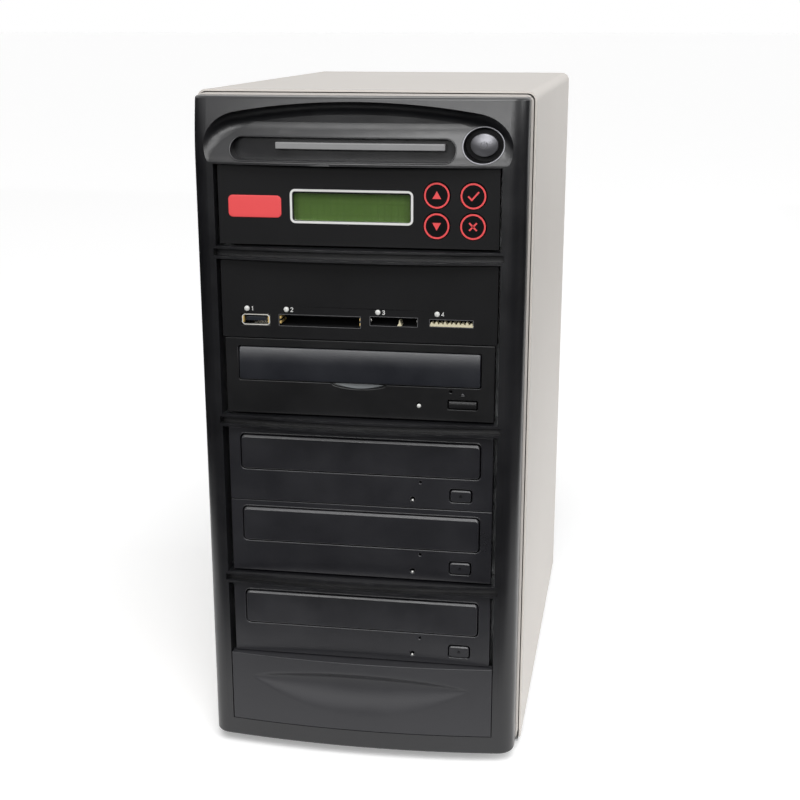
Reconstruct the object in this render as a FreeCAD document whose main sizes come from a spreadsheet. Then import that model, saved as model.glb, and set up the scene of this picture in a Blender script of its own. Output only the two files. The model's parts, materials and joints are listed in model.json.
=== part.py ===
"""Optical disc duplicator tower: steel case, bowed moulded front, four disc drives.

Millimetres, +Z up, front towards -Y, +X to the right of someone facing the front.
The origin is the middle of the footprint, on the surface that the feet stand on.
"""
import FreeCAD, Part
import math
import os
import re

from FreeCAD import Placement, Rotation, Vector

# Driving dimensions: name, value, what it is
SIZES = (
    ("overall_depth", 323.0, "front of the bow to the screw heads on the back"),
    ("foot_height", 6.0, "rubber feet"),
    ("foot_radius", 9.0, "rubber feet"),
    ("foot_inset", 20.0, "foot centre from the edges of the pan"),
    ("steel", 1.0, "sheet of the case"),
    ("bend_radius", 5.0, "outside of the bends along the top of the cover"),
    ("side_step", 2.5, "cover stands out from the bezel at the sides"),
    ("top_step", 2.5, "cover stands above the bezel"),
    ("cover_setback", 5.2, "cover starts behind the back of the bezel"),
    ("rear_flange", 11.0, "cover folded in over the back"),
    ("pan_flange", 14.0, "height of the folded sides of the pan"),
    ("frame_ledge", 0.9, "grey edge of the chassis round the bezel"),
    ("frame_bar", 8.0, "width of the front frame"),
    ("frame_depth", 20.0, "front frame reaches into the cover"),
    ("fit", 0.3, "running clearance between moving pieces"),
    ("seat", 0.1, "clearance round a piece that is set in"),
    # the moulded bezel
    ("bezel_depth", 24.0, "front of the bow to the back of the bezel"),
    ("bezel_wall", 2.6, "moulded wall"),
    ("bezel_corner", 10.0, "rounding of the outer uprights"),
    ("bezel_edge", 1.6, "rounding along the top and bottom"),
    ("front_bulge", 5.0, "rise of the bow across the bays"),
    ("front_proud", 8.0, "bow stands in front of the drive faces"),
    ("bay_width", 152.6, "opening for the drives"),
    ("pillar_width", 12.2, "upright beside the opening"),
    ("sill_height", 11.0, "rail under the lowest bay"),
    ("crown_height", 34.4, "top part above the bays"),
    ("bay_pitch", 42.4, "one half-height bay"),
    ("divider_height", 8.1, "between two pairs of bays"),
    ("divider_gap", 0.7, "divider clears the drives"),
    ("rib_lip", 1.4, "lips of a divider"),
    ("rib_groove", 5.0, "depth of the groove between the lips"),
    ("rib_overlap", 1.5, "groove runs into the uprights"),
    # the scooped crown
    ("crown_lean", 150.0, "radius of the crown, which leans back above the bays"),
    ("arch_rise", 32.5, "top of the arch above the bays"),
    ("arch_radius", 368.0, "top of the arch"),
    ("arch_turn", 26.7, "shoulders of the arch"),
    ("arch_rim", 2.0, "rim left outside the arch"),
    ("scoop_depth", 8.5, "deepest place of the crown"),
    ("scoop_step", 1.6, "step at the line of the arch"),
    ("ramp_turn", 12.0, "easing between the floor of the scoop and its ramp"),
    ("scoop_slope", 0.60, "rise of the ramp below, mm per mm"),
    ("lip_turn", 16.0, "roll between the ramp and the lip"),
    ("lip_slope", 0.10, "rise of the lip, mm per mm"),
    ("scoop_foot", 1.0, "lip meets the bow above the bays"),
    ("scoop_lead", 12.0, "line of the lip goes on below, in front of the bow"),
    ("groove_left", 67.0, "groove of the light bar, left end"),
    ("groove_right", 52.0, "groove of the light bar, right end"),
    ("groove_low", 2.2, "groove above the bays"),
    ("groove_tall", 11.6, "groove height"),
    ("groove_depth", 9.6, "groove behind the bow"),
    ("bar_left", 43.0, "light bar, left end"),
    ("bar_right", 46.3, "light bar, right end"),
    ("bar_low", 7.9, "light bar above the bays"),
    ("bar_tall", 3.5, "light bar height"),
    ("bar_front", 5.6, "light bar face behind the bow"),
    ("bar_depth", 16.0, "light bar, front to back"),
    ("well_x", 66.0, "power button from the middle"),
    ("well_rise", 10.9, "power button above the bays"),
    ("well_wide", 20.6, "well of the power button"),
    ("well_tall", 17.5, "well of the power button"),
    ("cap_wide", 14.3, "power button"),
    ("cap_tall", 11.6, "power button"),
    ("cap_front", 9.8, "power button face behind the bow"),
    ("cap_thick", 5.0, "power button"),
    ("cap_dome", 15.0, "radius of the domed power button"),
    ("stem_radius", 2.5, "power button stem"),
    ("power_travel", 2.0, "power button travel"),
    ("switch_depth", 13.0, "power switch housing"),
    # the drives
    ("face_gap", 0.2, "between stacked faces"),
    ("face_side", 2.3, "between a face and the upright"),
    ("face_thick", 5.5, "moulded face of a drive"),
    ("can_width", 146.0, "steel can of a drive"),
    ("can_height", 41.0, "steel can of a drive"),
    ("can_lift", 0.5, "can above the bay floor"),
    ("can_wall", 0.8, "sheet of a drive can"),
    ("can_depth", 166.0, "steel can of a drive"),
    ("door_proud", 0.6, "tray front stands out of the face"),
    ("door_thick", 4.0, "tray front"),
    ("door_bevel", 1.1, "bevel round the tray front"),
    ("door_gap", 0.4, "gap round the tray front"),
    ("tray_side", 1.3, "tray narrower than its front, each side"),
    ("tray_clear", 0.6, "rack clears the lower edge of the face"),
    ("tray_height", 8.4, "disc tray"),
    ("tray_length", 163.0, "disc tray"),
    ("tray_travel", 138.0, "how far a tray slides out"),
    ("disc_radius", 60.8, "well for the disc"),
    ("disc_depth", 4.8, "well for the disc"),
    ("disc_margin", 6.0, "rim in front of the disc"),
    ("small_radius", 40.8, "inner well for the small disc"),
    ("small_depth", 1.2, "inner well below the disc well"),
    ("slot_half", 18.0, "half width of the pickup slot"),
    ("slot_length", 52.0, "pickup slot behind the disc centre"),
    ("gear_module", 2.0, "tooth size of rack and loading gear"),
    ("gear_teeth", 12, "teeth of the loading gear"),
    ("tooth_tip", 0.8, "height of a tooth above the pitch line, in modules"),
    ("tooth_flank", 20.0, "slope of a tooth's flank in degrees"),
    ("gear_height", 3.4, "loading gear"),
    ("gear_inset", 17.0, "loading gear behind the tray's front"),
    ("gear_play", 0.45, "clearance of a flank"),
    ("rack_line", 46.0, "pitch line of the rack from the middle"),
    ("rack_drop", 4.2, "rack below the tray"),
    ("rack_back", 3.0, "bar behind the rack's teeth"),
    ("pin_radius", 2.0, "pin of the loading gear"),
    ("rail_width", 12.0, "rails that carry the tray"),
    ("deck_thick", 2.2, "floor of the loader"),
    ("deck_setback", 4.5, "loader behind the face"),
    ("platter_radius", 15.0, "turntable that carries the disc"),
    ("platter_thick", 4.0, "turntable"),
    ("hub_radius", 7.4, "centring hub of the turntable"),
    ("hub_height", 3.0, "centring hub of the turntable"),
    ("press", 1.0, "travel of an eject button"),
    ("button_proud", 0.5, "eject button stands out"),
    ("button_collar", 1.2, "collar that keeps the eject button in"),
    ("lamp_radius", 1.3, "hole of a drive's lamp"),
    ("pinhole_radius", 0.7, "emergency eject hole"),
    ("writer_door_half", 67.0, "writer: half width of the tray front"),
    ("writer_door_low", 18.4, "writer: tray front above the bay floor"),
    ("writer_door_high", 38.2, "writer: top of the tray front"),
    ("writer_door_round", 2.5, "writer: corners of the tray front"),
    ("writer_button_x", 50.6, "writer: eject button, left edge"),
    ("writer_button_z", 4.8, "writer: eject button, lower edge"),
    ("writer_button_wide", 11.9, "writer: eject button"),
    ("writer_button_tall", 7.1, "writer: eject button"),
    ("writer_button_round", 1.8, "writer: corners of the eject button"),
    ("writer_lamp_x", 29.8, "writer: lamp"),
    ("writer_lamp_z", 5.3, "writer: lamp"),
    ("writer_pin_x", 34.0, "writer: emergency eject hole"),
    ("writer_pin_z", 15.2, "writer: emergency eject hole"),
    ("source_door_half", 66.3, "source drive: half width of the tray front"),
    ("source_door_low", 19.2, "source drive: tray front above the bay floor"),
    ("source_door_high", 37.4, "source drive: top of the tray front"),
    ("source_door_round", 1.2, "source drive: corners of the tray front"),
    ("source_button_x", 49.1, "source drive: eject button, left edge"),
    ("source_button_z", 7.1, "source drive: eject button, lower edge"),
    ("source_button_wide", 15.6, "source drive: eject button"),
    ("source_button_tall", 4.5, "source drive: eject button"),
    ("source_button_round", 0.8, "source drive: corners of the eject button"),
    ("source_lamp_x", 33.1, "source drive: lamp"),
    ("source_lamp_z", 8.5, "source drive: lamp"),
    ("source_pin_x", 50.4, "source drive: emergency eject hole"),
    ("source_pin_z", 16.5, "source drive: emergency eject hole"),
    ("notch_half", 15.0, "source drive: finger notch under the tray front, half width"),
    ("notch_low", 15.9, "source drive: finger notch above the bay floor"),
    ("notch_depth", 2.2, "source drive: finger notch"),
    # the panels
    ("plate", 3.0, "moulded panel"),
    ("plate_side", 1.3, "panel clears the uprights"),
    ("ear_thick", 1.2, "side ears of a panel"),
    ("ear_length", 70.0, "side ears of a panel"),
    ("ear_low", 4.0, "ears above the bay floor"),
    ("ear_tall", 30.0, "side ears of a panel"),
    ("window_left", 34.1, "display window, left edge"),
    ("window_right", 28.3, "display window, right edge"),
    ("window_low", 13.3, "display window above the bay floor"),
    ("window_high", 27.9, "display window, top"),
    ("pane_thick", 1.8, "clear pane of the display"),
    ("pane_setback", 0.5, "pane behind the panel's face"),
    ("display_rim", 5.0, "display module round its window"),
    ("key_left", 42.2, "left keys"),
    ("key_right", 61.2, "right keys"),
    ("key_low", 12.1, "lower keys above the bay floor"),
    ("key_high", 27.8, "upper keys above the bay floor"),
    ("key_radius", 6.8, "panel key"),
    ("key_collar", 7.5, "collar that keeps a key in"),
    ("key_proud", 0.5, "key stands out of the panel"),
    ("key_travel", 0.6, "panel key"),
    ("board", 1.6, "circuit board"),
    ("board_gap", 12.0, "key board behind the panel's face"),
    ("board_depth", 50.0, "flat circuit boards"),
    ("board_setback", 18.0, "controller board behind the panel's face"),
    ("board_level", 5.0, "flat circuit boards above the bay floor"),
    ("chip_side", 17.0, "packages on the boards"),
    ("chip_spread", 18.0, "packages from the middle of the board"),
    ("chip_margin", 2.4, "packages from the back edge of the board"),
    ("chip_height", 2.4, "packages on the boards"),
    ("led_radius", 1.4, "status lamps"),
    ("led_level", 16.1, "status lamps above the bay floor"),
    ("led_1", -61.1, "status lamp"),
    ("led_2", -39.3, "status lamp"),
    ("led_3", 10.8, "status lamp"),
    ("led_4", 42.7, "status lamp"),
    ("usb_left", -64.4, "stick socket"),
    ("usb_right", -48.3, "stick socket"),
    ("usb_low", 6.8, "stick socket above the bay floor"),
    ("usb_high", 13.3, "stick socket, top"),
    ("cf_left", -43.3, "wide card slot"),
    ("cf_right", 1.3, "wide card slot"),
    ("cf_low", 7.2, "wide card slot above the bay floor"),
    ("cf_high", 13.3, "wide card slot, top"),
    ("sd_left", 6.6, "middle card slot"),
    ("sd_right", 32.2, "middle card slot"),
    ("sd_low", 8.9, "middle card slot above the bay floor"),
    ("sd_high", 13.7, "middle card slot, top"),
    ("ms_left", 38.8, "narrow card slot"),
    ("ms_right", 62.0, "narrow card slot"),
    ("ms_low", 9.4, "narrow card slot above the bay floor"),
    ("ms_high", 13.2, "narrow card slot, top"),
    ("socket_wall", 1.0, "walls of the card sockets"),
    ("socket_depth", 26.0, "card sockets behind the panel"),
    ("shell_wall", 0.4, "sheet of the stick socket"),
    ("tongue", 1.8, "tongue of the stick socket"),
    ("blank_side", 0.4, "blanking plate clears the opening"),
    ("pull_half", 64.0, "finger scoop, half width"),
    ("pull_top", 35.0, "finger scoop, top above the bay floor"),
    ("pull_ends", 29.0, "finger scoop, ends above the bay floor"),
    ("pull_low", 12.6, "finger scoop, runs out above the bay floor"),
    ("pull_depth", 6.5, "finger scoop"),
    # the back
    ("screw_head", 2.4, "height of a screw head"),
    ("head_radius", 3.3, "screw head"),
    ("shank_radius", 1.5, "screw shank"),
    ("shank_length", 5.0, "screw shank"),
    ("cover_screw_end", 35.0, "outer screws of the cover from its ends"),
    ("cover_screw_middle", 188.0, "middle screws of the cover above the floor"),
    ("cage_gap", 4.0, "drive cage ends in front of the power supply"),
    ("cage_flange", 14.0, "folded edges of the drive cage"),
    ("cage_window_rim", 24.0, "metal left before and behind a window of the drive cage"),
    ("cage_window_low", 14.0, "window of the drive cage above its bay floor"),
    ("cage_window_tall", 16.0, "window of the drive cage"),
    ("cage_window_radius", 4.0, "corners of a window of the drive cage"),
    ("psu_width", 150.0, "power supply"),
    ("psu_height", 86.0, "power supply"),
    ("psu_depth", 140.0, "power supply"),
    ("psu_drop", 2.5, "power supply below the cover"),
    ("psu_rim", 6.0, "panel laps the power supply"),
    ("fan_size", 80.0, "fan frame"),
    ("fan_depth", 25.0, "fan frame"),
    ("fan_bore", 38.0, "fan duct radius"),
    ("fan_level", 150.0, "exhaust fan centre above the floor"),
    ("fan_screw", 35.75, "fan screws from its centre"),
    ("rotor_hub", 17.0, "fan hub radius"),
    ("rotor_tip", 37.0, "fan blade radius"),
    ("rotor_depth", 18.0, "fan rotor"),
    ("blade_thick", 1.4, "fan blade"),
    ("blade_chord", 29.0, "fan blade from edge to edge"),
    ("blade_pitch", 38.0, "fan blade angle in degrees"),
    ("blades", 7, "fan blades"),
    ("axle_radius", 1.5, "fan axle"),
    ("grille_rings", 3, "ring-shaped slots of a fan grille"),
    ("grille_wire", 1.8, "steel left between two ring-shaped slots"),
    ("spider", 3.0, "fan motor plate and its arms"),
    ("psu_fan_x", -32.0, "supply fan from the middle"),
    ("inlet_x", 46.0, "mains inlet from the middle"),
    ("inlet_rise", 58.0, "mains socket above the supply's floor"),
    ("inlet_wide", 27.0, "mains inlet body"),
    ("inlet_tall", 20.0, "mains socket"),
    ("inlet_depth", 20.0, "mains inlet body"),
    ("inlet_wall", 1.8, "mains inlet wall"),
    ("inlet_lip", 1.5, "mains inlet flange"),
    ("pin_rise", 3.3, "earth pin above the middle of the socket"),
    ("pin_drop", 2.5, "other pins below the middle of the socket"),
    ("pin_spread", 7.0, "other pins beside the middle of the socket"),
    ("rocker_wide", 18.0, "rocker of the mains switch"),
    ("rocker_tall", 10.0, "rocker of the mains switch"),
    ("rocker_room", 1.6, "room beside the rocker for its tilt"),
    ("rocker_deep", 6.0, "rocker behind its pivot"),
    ("rocker_pivot", 4.0, "pivot behind the face of the supply"),
    ("rocker_pin", 1.2, "radius of the rocker's pivot, and its reach into the wall"),
    ("rocker_rise", 2.6, "raised ends of the rocker"),
    ("rocker_dip", 1.2, "middle of the rocker"),
    ("rocker_tilt", 10.0, "tilt to each side in degrees"),
    ("vent_wide", 40.0, "cooling slots of the back"),
    ("vent_tall", 3.0, "cooling slots of the back"),
    ("vent_pitch", 7.0, "cooling slots of the back"),
    ("vent_rows", 5, "cooling slots of the back, one above the other"),
    ("lead_radius", 3.0, "bundle of leads"),
    ("plug_wide", 20.0, "plug of a drive"),
    ("plug_tall", 7.0, "plug of a drive"),
    ("plug_depth", 14.0, "plug of a drive"),
)

# Places worked out from the sizes, each a sum of sizes and of places above it
PLACES = (
    ("bezel_half", "bay_width / 2 + pillar_width"),
    ("case_half", "bezel_half + side_step"),
    ("inner_half", "case_half - steel"),
    ("can_half", "can_width / 2"),
    ("group_pitch", "2 * bay_pitch + divider_height"),
    ("blank_floor", "foot_height + sill_height"),
    ("writer_3_floor", "blank_floor + bay_pitch"),
    ("writer_2_floor", "blank_floor + group_pitch"),
    ("writer_1_floor", "writer_2_floor + bay_pitch"),
    ("source_floor", "blank_floor + 2 * group_pitch"),
    ("reader_floor", "source_floor + bay_pitch"),
    ("panel_floor", "blank_floor + 3 * group_pitch"),
    ("crown_floor", "panel_floor + bay_pitch"),
    ("bezel_top", "crown_floor + crown_height"),
    ("case_top", "bezel_top + top_step"),
    ("pan_top", "foot_height + steel"),
    ("front_y", "-overall_depth / 2"),
    ("face_y", "front_y + front_proud"),
    ("bezel_back", "front_y + bezel_depth"),
    ("frame_in", "bezel_back + steel"),
    ("cover_front", "bezel_back + cover_setback"),
    ("rear_y", "overall_depth / 2 - screw_head"),
    ("panel_out", "rear_y - steel"),
    ("panel_in", "panel_out - steel"),
    ("bow_radius", "(bay_width ^ 2 / 4 + front_bulge ^ 2) / (2 * front_bulge)"),
    ("bow_y", "front_y + bow_radius"),
    ("can_front", "face_y + face_thick"),
    ("can_back", "can_front + can_depth"),
    ("tray_front", "face_y - door_proud + door_thick"),
    ("disc_y", "tray_front + disc_margin + disc_radius"),
    ("tray_half", "min(writer_door_half; source_door_half) - tray_side"),
    ("tray_level", "max(writer_door_low; source_door_low) + rack_drop + tray_clear"),
    ("gear_radius", "gear_module * gear_teeth / 2"),
    ("gear_x", "rack_line - gear_radius"),
    ("gear_y", "tray_front + gear_inset"),
    ("plate_half", "bay_width / 2 - plate_side"),
    ("plate_back", "face_y + plate"),
    ("ear_in", "can_half - ear_thick"),
    ("key_end", "plate_back + fit + 2 * button_collar"),
    ("psu_floor", "case_top - steel - psu_drop - psu_height"),
    ("psu_front", "panel_in - psu_depth"),
    ("psu_fan_z", "psu_floor + psu_height / 2"),
    ("inlet_z", "psu_floor + inlet_rise"),
    ("rocker_z", "inlet_z - inlet_tall / 2 - rocker_tall / 2"),
    ("cage_back", "psu_front - cage_gap"),
    ("cap_back", "front_y + cap_front + cap_thick"),
    ("switch_front", "cap_back + power_travel + fit"),
    ("well_z", "crown_floor + well_rise"),
)

doc = FreeCAD.newDocument("disc_duplicator")


def make_sheet(name, rows):
    """Fill a spreadsheet with one named row for each entry."""
    sheet = doc.addObject("Spreadsheet::Sheet", name)
    for row, (alias, content, words) in enumerate(rows, 1):
        sheet.set(f"A{row}", alias)
        sheet.set(f"B{row}", content)
        sheet.setAlias(f"B{row}", alias)
        sheet.set(f"C{row}", words)
    return sheet


HOME = {name: "Sizes" for name, _, _ in SIZES}
HOME.update({name: "Places" for name, _ in PLACES})


def formula(text):
    """The same sum with every size or place written as a cell of its sheet."""
    def cell(match):
        word = match[0]
        return f"{HOME[word]}.{word}" if word in HOME else word
    return re.sub(r"[A-Za-z_]\w*", cell, str(text))


sizes = make_sheet("Sizes", [(name, str(number), words) for name, number, words in SIZES])
places = make_sheet("Places", [(name, "=" + formula(text), "") for name, text in PLACES])
doc.recompute()


def number(name):
    """The present value of a size or place."""
    return float((sizes if HOME[name] == "Sizes" else places).get(name))


# Half oval hollows have the seam of their skin on the open side
FORWARD = Rotation(Vector(0, 0, 1), -90)
FACING = {
    "x": Rotation(Vector(0, 1, 0), 90),
    "y": Rotation(Vector(1, 0, 0), -90),
    "z": Rotation(),
}
# Two lengths this near are the same place
CLOSE = 0.01
# Straight stretch left between the two roundings of a slot's end
SLOT_END = 0.1
NODES = []


def keep(piece, node):
    """Give a finished piece the name of its node."""
    piece.Label = node
    NODES.append(piece)
    return piece


def settle(piece):
    """Work out a piece now, so that its edges can be picked."""
    piece.recompute(True)
    return piece


def place(piece, x, y, z):
    """Tie the place of a piece to sums of sizes."""
    for axis, text in zip("xyz", (x, y, z)):
        piece.setExpression(f"Placement.Base.{axis}", formula(text))
    return piece


def box(name, x, y, z):
    """A block between two planes along each axis."""
    piece = doc.addObject("Part::Box", name)
    for side, (low, high) in zip(("Length", "Width", "Height"), (x, y, z)):
        piece.setExpression(side, formula(f"({high}) - ({low})"))
    return place(piece, x[0], y[0], z[0])


def rod(name, radius, start, length, axis):
    """A round bar from its start point along one axis."""
    piece = doc.addObject("Part::Cylinder", name)
    piece.setExpression("Radius", formula(radius))
    piece.setExpression("Height", formula(length))
    piece.Placement = Placement(Vector(), FACING[axis])
    return place(piece, *start)


def oval(name, wide, tall, start, length):
    """An oval bar along +Y."""
    rim = doc.addObject("Part::Ellipse", name + "_rim")
    rim.setExpression("MajorRadius", formula(f"({wide}) / 2"))
    rim.setExpression("MinorRadius", formula(f"({tall}) / 2"))
    rim.Placement = Placement(Vector(), FACING["y"])
    place(rim, *start)
    piece = doc.addObject("Part::Extrusion", name)
    piece.Base = rim
    piece.DirMode = "Custom"
    piece.Dir = Vector(0, 1, 0)
    piece.Solid = True
    piece.setExpression("LengthFwd", formula(length))
    return piece


def oval_hollow(name, half, depth, tall, middle):
    """Tool for an oval hollow in a front face: half a width, a depth and a height about its middle."""
    piece = doc.addObject("Part::Ellipsoid", name)
    piece.Angle1 = -90
    piece.Placement = Placement(Vector(), FORWARD)
    for radius, text in (("Radius1", tall), ("Radius2", depth), ("Radius3", half)):
        piece.setExpression(radius, formula(text))
    return place(piece, *middle)


def fuse(name, *parts):
    """One solid made of several that touch or overlap."""
    piece = doc.addObject("Part::MultiFuse", name)
    piece.Shapes = list(parts)
    piece.Refine = True
    return piece


def group(name, *parts):
    """Several separate solids kept as one object."""
    piece = doc.addObject("Part::Compound", name)
    piece.Links = list(parts)
    return piece


def cut(name, base, *tools):
    """Take one tool, or several that lie apart, away from a solid."""
    piece = doc.addObject("Part::Cut", name)
    piece.Base = base
    piece.Tool = tools[0] if len(tools) == 1 else group(name + "_tools", *tools)
    piece.Refine = True
    return piece


def common(name, first, second):
    """What two solids share."""
    piece = doc.addObject("Part::Common", name)
    piece.Base = first
    piece.Tool = second
    piece.Refine = True
    return piece


def dressed(kind, name, base, size, wanted):
    """Fillet or chamfer the edges of a solid that a test picks."""
    settle(base)
    picked = [
        (index, size, size)
        for index, edge in enumerate(base.Shape.Edges, 1)
        if wanted(edge)
    ]
    piece = doc.addObject(kind, name)
    piece.Base = base
    piece.Edges = picked
    return piece


def along(axis):
    """A test for straight edges that run along one axis."""
    way = {"x": Vector(1, 0, 0), "y": Vector(0, 1, 0), "z": Vector(0, 0, 1)}[axis]

    def wanted(edge):
        if edge.Curve.TypeId != "Part::GeomLine":
            return False
        return abs(edge.tangentAt(edge.FirstParameter).dot(way)) > 1 - CLOSE
    return wanted


def at_plane(axis, level):
    """A test for edges that lie in a plane across one axis."""
    def wanted(edge):
        room = edge.BoundBox
        low = getattr(room, axis.upper() + "Min")
        high = getattr(room, axis.upper() + "Max")
        return abs(low - level) < CLOSE and abs(high - level) < CLOSE
    return wanted


def rounded_box(name, x, y, z, axis, radius):
    """A block with its four edges along one axis rounded."""
    return dressed("Part::Fillet", name, box(name + "_block", x, y, z), radius, along(axis))


def shaped(name, shape):
    """A solid worked out from the sizes by its own formula."""
    piece = doc.addObject("Part::Feature", name)
    piece.Shape = shape
    return piece


def mirrored_span(inner, outer):
    """The same stretch of X on the left and on the right."""
    return ((f"-({outer})", f"-({inner})"), (inner, outer))


# Steel case


def make_cover():
    """U-shaped cover: top and sides folded from one sheet, with flanges over the back."""
    radius = number("bend_radius")
    outside = rounded_box(
        "cover_outside", ("-case_half", "case_half"), ("cover_front", "rear_y"),
        ("foot_height - bend_radius", "case_top"), "y", radius,
    )
    inside = rounded_box(
        "cover_inside", ("-inner_half", "inner_half"), ("cover_front - steel", "panel_out"),
        ("foot_height - 2 * bend_radius", "case_top - steel"), "y", radius - number("steel"),
    )
    mouth = box(
        "cover_mouth", ("rear_flange - inner_half", "inner_half - rear_flange"),
        ("panel_in", "rear_y + steel"), ("foot_height - bend_radius", "case_top - steel - rear_flange"),
    )
    under = box(
        "cover_under", ("-2 * case_half", "2 * case_half"), ("2 * front_y", "-2 * front_y"),
        ("-4 * bend_radius", "foot_height"),
    )
    hollow = fuse("cover_hollow", inside, mouth, under)
    shell = cut("cover_shell", outside, hollow)
    return keep(cut("cover_piece", shell, *screw_holes("cover_hole", COVER_SCREWS)), "cover")


def make_pan():
    """Base pan with folded sides, under everything."""
    pan = box(
        "pan_floor", ("-inner_half", "inner_half"), ("bezel_back", "panel_in"), ("foot_height", "pan_top"),
    )
    sides = [
        box(f"pan_side_{side}", span, ("frame_in + frame_depth", "panel_in"),
            ("foot_height", "foot_height + pan_flange"))
        for side, span in zip(("left", "right"), mirrored_span("inner_half - steel", "inner_half"))
    ]
    return keep(fuse("pan_piece", pan, *sides), "base_pan")


def make_frame():
    """Front frame: a folded ring that carries the bezel and the cage."""
    outer = rounded_box(
        "frame_outer", ("-bezel_half - frame_ledge", "bezel_half + frame_ledge"),
        ("bezel_back", "bezel_back + frame_depth"), ("pan_top", "bezel_top + frame_ledge"),
        "y", number("bend_radius") - number("steel"),
    )
    cavity = box(
        "frame_cavity", ("steel - bezel_half - frame_ledge", "bezel_half + frame_ledge - steel"),
        ("frame_in", "bezel_back + 2 * frame_depth"), ("pan_top + steel", "bezel_top + frame_ledge - steel"),
    )
    opening = box(
        "frame_opening", ("frame_bar - bezel_half", "bezel_half - frame_bar"),
        ("bezel_back - steel", "frame_in + steel"), ("blank_floor - steel", "bezel_top - frame_bar"),
    )
    return keep(cut("frame_piece", outer, fuse("frame_hollow", cavity, opening)), "front_frame")


def make_cage():
    """Two side plates that hold the drives, folded out at the front and the bottom."""
    plates = []
    for side, sign in (("left", -1), ("right", 1)):
        def span(inner, outer):
            return mirrored_span(inner, outer)[0 if sign < 0 else 1]
        wall = box(
            f"cage_wall_{side}", span("can_half", "can_half + steel"),
            ("frame_in", "cage_back"), ("pan_top + steel", "panel_floor + bay_pitch"),
        )
        front = box(
            f"cage_front_{side}", span("can_half", "can_half + cage_flange"),
            ("frame_in", "frame_in + steel"), ("pan_top + steel", "panel_floor + bay_pitch"),
        )
        foot = box(
            f"cage_foot_{side}", span("can_half", "can_half + cage_flange"),
            ("frame_in + frame_depth", "cage_back"), ("pan_top", "pan_top + 2 * steel"),
        )
        windows = []
        for bay in ("writer_3", "writer_2", "writer_1", "source", "reader", "panel"):
            low = f"{bay}_floor + cage_window_low"
            windows.append(rounded_box(
                f"cage_window_{bay}_{side}", span("can_half - steel", "can_half + 2 * steel"),
                ("frame_in + cage_window_rim", "cage_back - cage_window_rim"),
                (low, f"{low} + cage_window_tall"), "x", number("cage_window_radius"),
            ))
        plates.append(cut(f"cage_{side}", fuse(f"cage_folded_{side}", wall, front, foot), *windows))
    return keep(group("cage_piece", *plates), "drive_cage")


def make_feet():
    """Four rubber feet under the pan."""
    feet = []
    for side, x in (("left", "foot_inset - inner_half"), ("right", "inner_half - foot_inset")):
        for end, y in (("front", "cover_front + foot_inset"), ("rear", "panel_in - foot_inset")):
            foot = doc.addObject("Part::Cone", f"foot_{side}_{end}")
            foot.setExpression("Radius1", formula("foot_radius - steel"))
            foot.setExpression("Radius2", formula("foot_radius"))
            foot.setExpression("Height", formula("foot_height"))
            feet.append(place(foot, x, y, "0"))
    return keep(group("feet_piece", *feet), "feet")


# Screws of the back: name, x, y of the face under the head, z

COVER_SCREWS = [
    (f"{side}_{level}", f"{sign} * (inner_half - rear_flange / 2)", "rear_y", height)
    for side, sign in (("left", -1), ("right", 1))
    for level, height in (("low", "foot_height + cover_screw_end"), ("middle", "cover_screw_middle"),
                          ("high", "case_top - cover_screw_end"))
]
SUPPLY_SCREWS = [
    (f"supply_{side}_{level}", f"{sign} * (psu_width / 2 - psu_rim / 2)", "panel_out", f"psu_floor + {rise}")
    for side, sign in (("left", -1), ("right", 1))
    for level, rise in (("low", "2 * psu_rim"), ("high", "psu_height - 2 * psu_rim"))
]
FAN_SCREWS = [
    (f"fan_{side}_{level}", f"{sign} * fan_screw", "panel_out", f"fan_level + {up} * fan_screw")
    for side, sign in (("left", -1), ("right", 1))
    for level, up in (("low", -1), ("high", 1))
]


def screw_holes(name, screws):
    """Holes that the shanks of a set of screws pass through."""
    return [
        rod(f"{name}_{which}", "shank_radius + seat", (x, f"{y} - shank_length - fit", z),
            "shank_length + screw_head", "y")
        for which, x, y, z in screws
    ]


def make_screws():
    """Hexagon-head screws of the cover, the supply and the fan."""
    screws = []
    for which, x, y, z in COVER_SCREWS + SUPPLY_SCREWS + FAN_SCREWS:
        head = doc.addObject("Part::Prism", f"head_{which}")
        head.Polygon = 6
        head.setExpression("Circumradius", formula("head_radius"))
        head.setExpression("Height", formula("screw_head"))
        head.Placement = Placement(Vector(), FACING["y"])
        place(head, x, y, z)
        shank = rod(f"shank_{which}", "shank_radius", (x, f"{y} - shank_length", z), "shank_length", "y")
        screws.append(fuse(f"screw_{which}", head, shank))
    return keep(group("screws_piece", *screws), "screws")


# Moulded front


def bow_tool(name, x, z, depth):
    """A slot cut into the bowed front, with a floor that follows the bow."""
    block = box(name + "_block", x, ("front_y - steel", "face_y + rib_groove"), z)
    core = rod(name + "_core", f"bow_radius - {depth}", ("0", "bow_y", "0"), "case_top", "z")
    return cut(name, block, core)


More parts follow.
